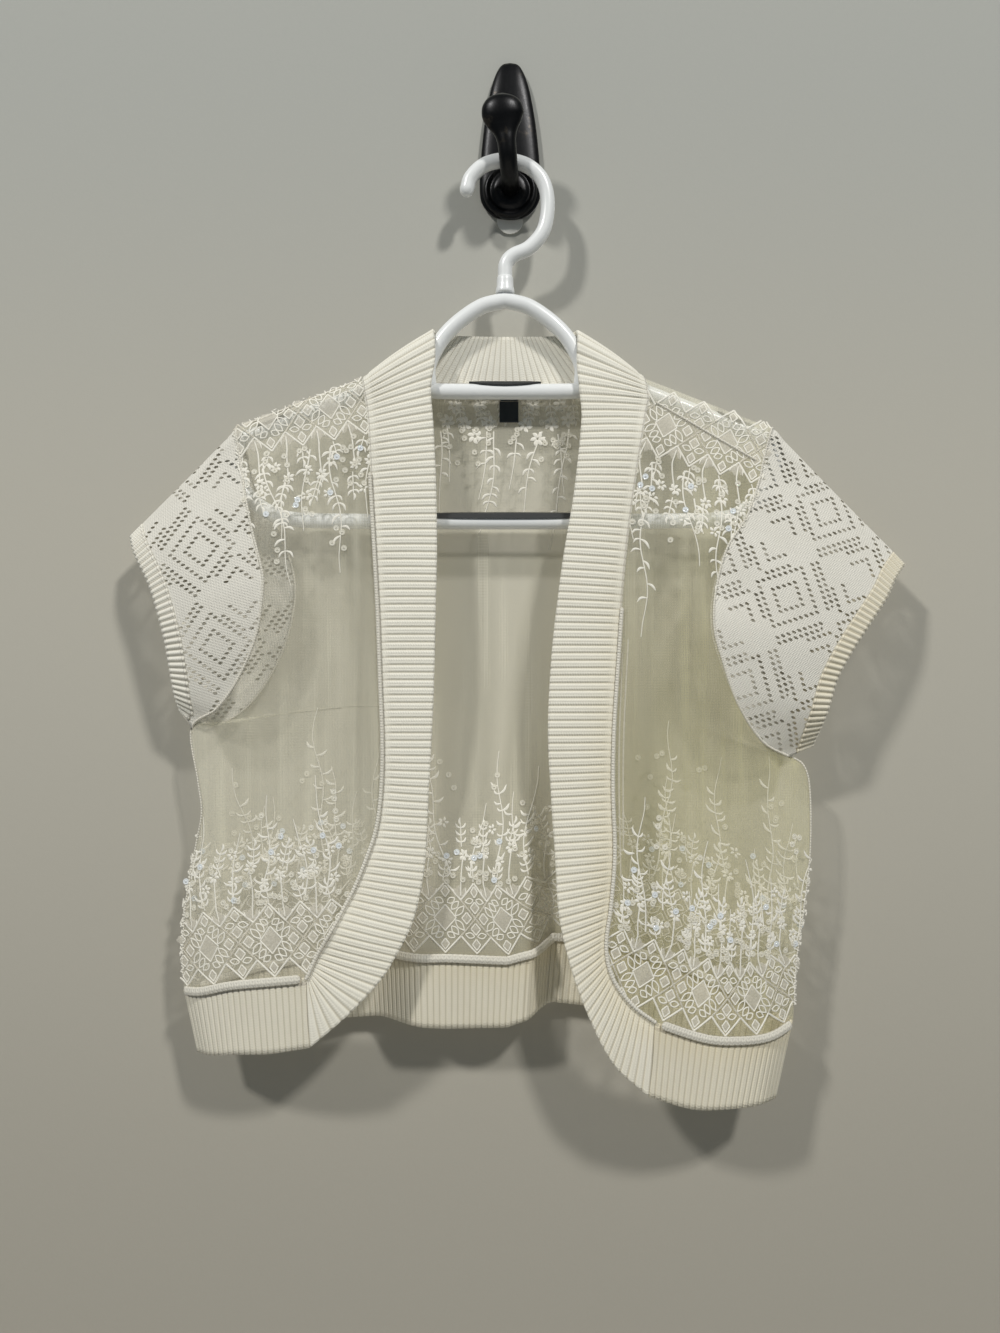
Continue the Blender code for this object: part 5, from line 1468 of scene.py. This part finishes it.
def sleeve(side, ring, round_s, cuff, cuff_back, m):
    """Knitted sleeve from the armhole ring to its cuff, and the ribbed cuff.

    Between ring and rim the sleeve is straight, with a puff of sin(pi t) sin(pi s).
    """
    bottom = int(np.argmax(round_s))
    end = np.vstack([smooth_rows(cuff, by_length(cuff, round_s[:bottom + 1])),
                     smooth_rows(cuff_back, by_length(cuff_back, round_s[bottom + 1:]))])
    towards = np.where(np.arange(len(ring)) <= bottom, -1.0, 1.0)
    length = np.linalg.norm(end - ring, axis=1)
    cuff_w = np.minimum(CUFF_W, length - SHORT_SLEEVE)

    def at(distances):
        t = distances / length[:, None]
        grid = ring[:, None] + (end - ring)[:, None] * t[..., None]
        puff = SLEEVE_PUFF * np.sin(np.pi * np.clip(t, 0, 1)) * np.sin(np.pi * round_s)[:, None]
        grid[..., 1] += puff * towards[:, None] * np.minimum(length / 60.0, 1)[:, None]
        return clear_of_hanger(grid)
    main_length = length - cuff_w
    body = at(main_length[:, None] * np.linspace(0, 1, 33)[None])
    middle, along, sign = POINTELLE[side]
    flat = body[..., (0, 2)] - middle
    across = np.array((-along[1], along[0])) * sign
    uv = np.stack([flat @ np.array(along), flat @ across], -1) \
        + np.array((REPEAT, TALL)) / (2 * MM)
    knit = add_mesh(f"knit_sleeve_{side}", body, quads(numbers(*body.shape[:2], closed=True)),
                    [m["knit"]], uv, f"sleeve_{side}")
    edge = at(np.stack([main_length + 0.3, main_length + cuff_w], axis=1))
    edge = np.vstack([edge, edge[:1]])
    cuff_strip = ribbed(f"cuff_{side}", edge[:, 0], edge[:, 1], CUFF_PITCH, CUFF_LIFT,
                        m["cuff"], 7, fine_profile, CUFF_STEPS, closed=True)
    path = ring + (ring - ring.mean(axis=0)) * 0.004
    joint = tube(f"armhole_seam_{side}", path, ARMHOLE_SEAM, [m["bead"]], sides=10,
                 closed=True)
    return knit, body, cuff_strip, joint


def round_the_armhole(front, count, back, under, crest):
    """Armhole ring from the top, down the front and up the back, and how far down it is."""
    over = back[crest:0:-1] if crest else back[:0]
    down, up = front[-1, :count], back[under - 1:crest:-1]
    ring = np.vstack([over, down, up])
    bottom = len(over) + count - 1
    s = []
    for part in (ring[:bottom + 1], np.vstack([ring[:1], up[::-1], ring[bottom:bottom + 1]])):
        run = lengths(part)
        s.append(run / run[-1])
    return ring, np.concatenate([s[0], s[1][1:-1][::-1]])


def bead(name, line, n, size, lift, m, node=None):
    """Rolled edge of knit that lies on a seam, with stitches swelling like |sin|^0.7."""
    path = line + n * (size[1] + lift)
    run = lengths(path)
    at = np.arange(0.0, run[-1], 0.7)
    plump = 0.93 + 0.07 * np.abs(np.sin(at * np.pi / STITCH_RUN)) ** 0.7
    path, radii = rounded(linear_rows(path, at, run), plump[:, None] * size)
    return tube(name, path, radii, [m["bead"]], sides=14, node=node)


def declare(grid, rests_on, with_pieces=()):
    """Works out the flat area of a hung piece's grid, and keeps nothing of it."""
    grid_area(grid)


def make_sheer(name, grid, mat):
    """Sheer panel as one layer on its seam lines."""
    return add_mesh("sheer_" + name, grid, quads(numbers(*grid.shape[:2])), [mat],
                    grid[..., (0, 2)], name)


def front_bands(m, right, right_at, left, left_at, back, back_u):
    """Both wide front bands and the neck band."""
    columns = BACK_TOP[0] + (BACK_TOP[1] - BACK_TOP[0]) * back_u
    start = int(np.argmin(np.abs(columns - NECK_BAND[0][0])))
    stop = int(np.argmin(np.abs(columns - NECK_BAND[-1][0])))
    made = {}
    climb = len(LEFT_CLIMB) * FINE        # cells of the left band beside the back's own edge
    for name, table, line, rows in (
            ("band_right", RIGHT_BAND, right[0], right_at),
            ("band_left", LEFT_BAND, np.vstack([back[stop:stop + climb, 0], left[0]]),
             np.concatenate([np.arange(climb) / FINE, left_at + len(LEFT_CLIMB)]))):
        steps = between(len(line), 3)
        where = np.interp(steps, np.arange(len(line)), rows)
        free = smooth_rows(np.array(table, float)[:, 3:], where)
        made[name] = ribbed(name, linear_rows(line, steps), clear_of_hanger(free), BAND_PITCH,
                            BAND_LIFT, m["rib"], 25, curl=BAND_CURL, selvedge=SELVEDGE)
    known = np.array(NECK_BAND, float)
    free = smooth_rows(known[:, 2:], np.interp(columns[start:stop + 1], known[:, 0],
                                               np.arange(len(known))))
    made["band_neck"] = ribbed("band_neck", back[start:stop + 1, 0], free, HEM_PITCH,
                               NECK_LIFT, m["neck"], 17, on_plain=True)
    return made


def hems(m, right, left, back, back_u):
    """The three hem bands."""
    made = {}
    for name, grid, rows in (("hem_right", right, RIGHT_HEM_FREE),
                             ("hem_left", left, LEFT_HEM_FREE)):
        free = smooth_rows(rows, by_length(rows, np.linspace(0, 1, len(grid))))
        made[name] = ribbed(name, grid[:, -1], free, HEM_PITCH, HEM_LIFT, m["hem"], 13)
    start, end = BACK_HEM_FREE[0][0], BACK_HEM_FREE[-1][0]
    free, line = edge_at(BACK_HEM_FREE, start + (end - start) * back_u), back[:, -1]
    free[:, 1] += line[:, 1] - edge_at(BACK_HEM, line[:, 0])[:, 1]
    made["hem_back"] = ribbed("hem_back", line, free, HEM_PITCH, HEM_LIFT, m["hem"], 13,
                              on_plain=True)
    return made


# Hanger and wall hook

def hanger(m):
    """Tubular hanger, its hook and the socket of the hook."""
    loop, arms = (smooth_rows(line, between(len(line), 4)) for line in HANGER_LINES)
    plastic = [m["plastic"]]
    tube("hanger_loop", loop[:-1], TUBE_R, plastic, 32, True, "hanger_body")
    tube("hanger_arms", arms, TUBE_R - 0.1, plastic, 32, False, "hanger_body")
    hook_rows = ((-34, -51), (-31, -42), (-22, -33), (-11, -29), (0, -28.7), (14, -33),
                 (25, -44), (29, -61), (26, -82), (15, -96), (2, -102.5), (-3.5, -109),
                 (-4.2, -118), (-4.2, -131))
    rows = [(x, HANGER_Y + 1, z) for x, z in hook_rows]
    path = smooth_rows(rows, np.linspace(0, len(rows) - 1, 120))
    path, radii = rounded(path, np.full((len(path), 2), HOOK_R))
    tube("hook_rod", path[:-4], radii[:-4], plastic, 32, False, "hanger_hook")
    z, radii = np.array(((-119, 5.7), (-120, 6.3), (-122.5, 6.5), (-127, 6.6), (-129, 7.2),
                         (-131.4, 7.5), (-132.2, 7.2))).T
    path = np.column_stack([np.full_like(z, HANGER_X), np.full_like(z, HANGER_Y + 1), z])
    tube("hook_socket", path, radii, plastic, 32, False, "hanger_hook")


def wall_hook(m):
    """Arched plate with its round rose, and the arm with its flat knob."""
    bronze = [m["metal"]]
    table = np.array((     # height and half width of the plate
        (62.5, 0.8), (61.5, 5.5), (58, 9.0), (50, 12.8), (37, 16.4), (15, 20.3), (-9, 23.0),
        (-28, 24.3), (-42, 24.3), (-50, 22.5), (-57, 17.5), (-61, 11.5), (-62.4, 5.0),
        (-62.6, 0.8)))
    rows = smooth_rows(table, np.linspace(0, len(table) - 1, 80))
    outline = np.vstack([rows[:, ::-1], (rows * (1, -1))[::-1, ::-1]])
    middle = np.array([0.0, ROSE_Z + 20])
    depth, scale = np.array((
        (PLATE_BACK, 0.985), (PLATE_BACK - 0.4, 1.0), (-4.0, 1.0), (-4.8, 0.975), (-6.2, 0.9),
        (-7.2, 0.78), (-7.9, 0.6), (-8.2, 0.4))).T[..., None]
    x, z = np.moveaxis(middle + (outline - middle) * scale[..., None], -1, 0)
    ring = np.stack(np.broadcast_arrays(x, depth, z), -1)
    ringed("hook_plate", ring, bronze, None, "wall_hook_plate")

    radius, depth = np.array((
        (21.4, -3.0), (21.6, -7.6), (21.2, -8.8), (20.2, -10.0), (19.0, -10.6), (17.6, -10.2),
        (16.4, -9.3), (15.6, -9.2), (14.8, -9.9), (13.6, -11.4), (11.6, -12.4),
        (8.0, -12.6))).T[..., None]
    turn = turns(72, 0)
    ring = np.stack(np.broadcast_arrays(radius * np.cos(turn), depth,
                                        ROSE_Z + radius * np.sin(turn)), -1)
    ringed("hook_rose", ring, bronze, None, "wall_hook_plate")

    table = np.array((     # x, y, z, half width, half thickness
        (0, -12.0, -41, 7.7, 6.9), (0, -20, -41, 7.0, 6.6), (-0.5, -29, -41.2, 6.9, 6.6),
        (-1, -37, -39, 6.9, 6.6), (-2, -43, -32, 7.0, 6.4), (-3, -45.5, -23, 7.2, 6.0),
        (-4, -46.5, -16, 9.0, 5.6), (-5, -47.2, -10, 13.0, 6.2), (-6, -47.8, -3, 16.0, 7.6),
        (-6, -48.2, 4, 15.0, 7.4), (-6, -48.5, 9, 11.0, 5.6), (-6, -48.7, 12, 4.0, 2.2)))
    rows = smooth_rows(table, np.linspace(0, len(table) - 1, 90))
    way = unit(np.gradient(rows[:, :3], axis=0))
    side = unit((1.0, 0.0, 0.0) - way * way[:, :1])
    ring = rings(rows[:, :3], side, np.cross(way, side), rows[:, 3:], turns(36))
    ringed("hook_arm", ring, bronze, None, "wall_hook_arm")


def stage_and_lights(m):
    """Wall and floor of the photograph's room, the lights and the camera."""
    link = bpy.context.collection.objects.link
    left, right = -ROOM_SIDE, ROOM_SIDE
    wall = ((left, WALL_Y, WALL_TOP), (left, WALL_Y, FLOOR_Z), (right, WALL_Y, FLOOR_Z),
            (right, WALL_Y, WALL_TOP))
    floor = ((left, FLOOR_FRONT, FLOOR_Z), (right, FLOOR_FRONT, FLOOR_Z),
             (right, WALL_Y, FLOOR_Z), (left, WALL_Y, FLOOR_Z))
    for name, points in (("wall", wall), ("floor", floor)):
        mesh = bpy.data.meshes.new(name)
        mesh.from_pydata((np.array(points) * MM).tolist(), [], [(0, 1, 2, 3)])
        mesh.materials.append(m[name])
        item = bpy.data.objects.new(name, mesh)
        link(item)
    for name, size, energy, place, colour in LAMPS:
        lamp = bpy.data.lights.new(name, "AREA")
        lamp.size, lamp.energy, lamp.color = size, energy, colour
        item = bpy.data.objects.new(name, lamp)
        item.location = place
        aim = Vector(LAMP_AIM) - Vector(place)
        item.rotation_euler = aim.to_track_quat("-Z", "Y").to_euler()
        link(item)
    scene = bpy.context.scene
    scene.world = bpy.data.worlds.new("room")
    scene.world.use_nodes = True
    background = scene.world.node_tree.nodes["Background"]
    background.inputs[0].default_value = ROOM_COLOUR
    background.inputs[1].default_value = ROOM_POWER
    scene.view_settings.view_transform = "Standard"
    view = bpy.data.cameras.new("camera")
    view.lens, view.sensor_width, view.clip_start = LENS, 36.0, 0.01
    scene.camera = bpy.data.objects.new("camera", view)
    scene.camera.location = CAMERA_AT
    scene.camera.rotation_euler = (np.pi / 2, 0, 0)
    link(scene.camera)


# What a hung strip rests on
HANGS_FROM = {"band_right": "sheer_front_right", "band_left": "sheer_front_left",
              "band_neck": "hanger_arms", "hem_right": "sheer_front_right",
              "hem_left": "sheer_front_left", "hem_back": "sheer_back_panel"}
# CAD nodes that show as they are
SHOWN_NODES = {"neck_label": "label", "size_tab": "label", "bar_inlay_upper": "grip",
               "bar_inlay_lower": "grip", "arm_inlay_right": "grip",
               "arm_inlay_left": "grip", "adhesive_strip": "strip"}
# The round front corners, where a thin seam joins band and net
ROUND_CORNER = {"right": slice(-16 * FINE, None), "left": slice(-13 * FINE, None)}


def seams_and_edges(m, cloth, down):
    """Rolled edges and seams: those of each strip, and those of each front."""
    out = {side: cloth_normals(grid) for side, grid in cloth.items()}
    beads, seams = {}, {}
    for side, grid in cloth.items():
        lift = EDGE_LIFT + (RIB_T if side == "back" else 0.0)
        beads["hem_" + side] = [bead("rolled_edge_" + side, grid[4:-4, -1], out[side][4:-4, -1],
                                     HEM_ROLL, lift, m, "rolled_seam_" + side)]
    back = cloth["back"]
    neck = np.nonzero(np.abs(back[:, 0, 0] - HANGER_X) < NECK_HALF)[0]
    beads["band_neck"] = [bead("rolled_edge_neck", back[neck, 0], out["back"][neck, 0],
                               NECK_ROLL, RIB_T + EDGE_LIFT, m, "rolled_seam_neck")]
    for side, corner in ROUND_CORNER.items():
        grid, n = cloth[side], out[side]
        beads["band_" + side] = [bead("band_seam_" + side, grid[0, corner], n[0, corner],
                                      BAND_SEAM, BAND_SEAM_LIFT, m)]
    for side, underarm in down.items():
        grid, n, below = cloth[side], out[side], slice(underarm, -4)
        seams[side] = [bead("side_seam_" + side, grid[-1, below], n[-1, below],
                            SIDE_SEAM, SEAM_LIFT, m),
                       bead("shoulder_seam_" + side, grid[4:-4, 0], n[4:-4, 0],
                            SHOULDER_SEAM, SEAM_LIFT, m)]
    return beads, seams


def main():
    """Makes all the pieces, the hanger, the wall hook and the room."""
    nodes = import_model()["nodes"]
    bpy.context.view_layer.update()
    m = make_materials()
    for node, mat in SHOWN_NODES.items():
        for place in nodes[node].material_slots:
            place.material = m[mat]

    right, right_at, right_s = front_panel(
        "front_right", [row[:3] for row in RIGHT_BAND], RIGHT_ARMHOLE, RIGHT_SIDE, RIGHT_HEM,
        right_drop, (-115, -213))
    left, left_at, left_s = front_panel(
        "front_left", [row[:3] for row in LEFT_BAND[3:]], LEFT_ARMHOLE, LEFT_SIDE, LEFT_HEM,
        left_drop, (107, 193))
    back, back_u, under, crest = back_panel()
    cloth = {"right": right, "left": left, "back": back}
    armholes = {"right": round_the_armhole(right, len(right_s), back[0], under, 0),
                "left": round_the_armhole(left, len(left_s), back[-1], under, crest)}
    sleeves = {"right": sleeve("right", *armholes["right"], RIGHT_CUFF, RIGHT_CUFF_BACK, m),
               "left": sleeve("left", *armholes["left"], LEFT_CUFF, LEFT_CUFF_BACK, m)}
    sheer = {"right": make_sheer("front_right", right, m["net"]),
             "left": make_sheer("front_left", left, m["net"]),
             "back": make_sheer("back_panel", back, m["net_back_painted_light"])}
    strips = front_bands(m, right, right_at, left, left_at, back, back_u)
    strips.update(hems(m, right, left, back, back_u))
    beads, seams = seams_and_edges(m, cloth, {"right": len(right_s), "left": len(left_s)})
    rng = np.random.default_rng(11)
    behind = back[back_u > 0.5, :crest]       # the back's cloth that is rolled to the front
    sewn = {"back": hem_sewing("back", back, m, rng) + neck_sewing(back, m, rng),
            "right": hem_sewing("right", right, m, rng)
            + shoulder_sewing("right", [right], m, rng),
            "left": hem_sewing("left", left, m, rng)
            + shoulder_sewing("left", [left, behind], m, rng) + long_stems(left, m)}
    hanger(m)
    wall_hook(m)
    stage_and_lights(m)

    seams["back"] = [nodes["neck_label"], nodes["size_tab"]]
    for side in ("back", "right", "left"):
        declare(cloth[side], ["hanger_arms"], sewn[side] + seams[side])
    for side, (knit, body, (cuff, cuff_grid), joint) in sleeves.items():
        declare(np.vstack([body, body[:1]]), ["sheer_front_" + side], [joint])
        declare(np.vstack([cuff_grid, cuff_grid[:1]]), ["knit_sleeve_" + side])
    for name, (item, grid) in strips.items():
        declare(grid, [HANGS_FROM[name]], beads.get(name, []))


main()
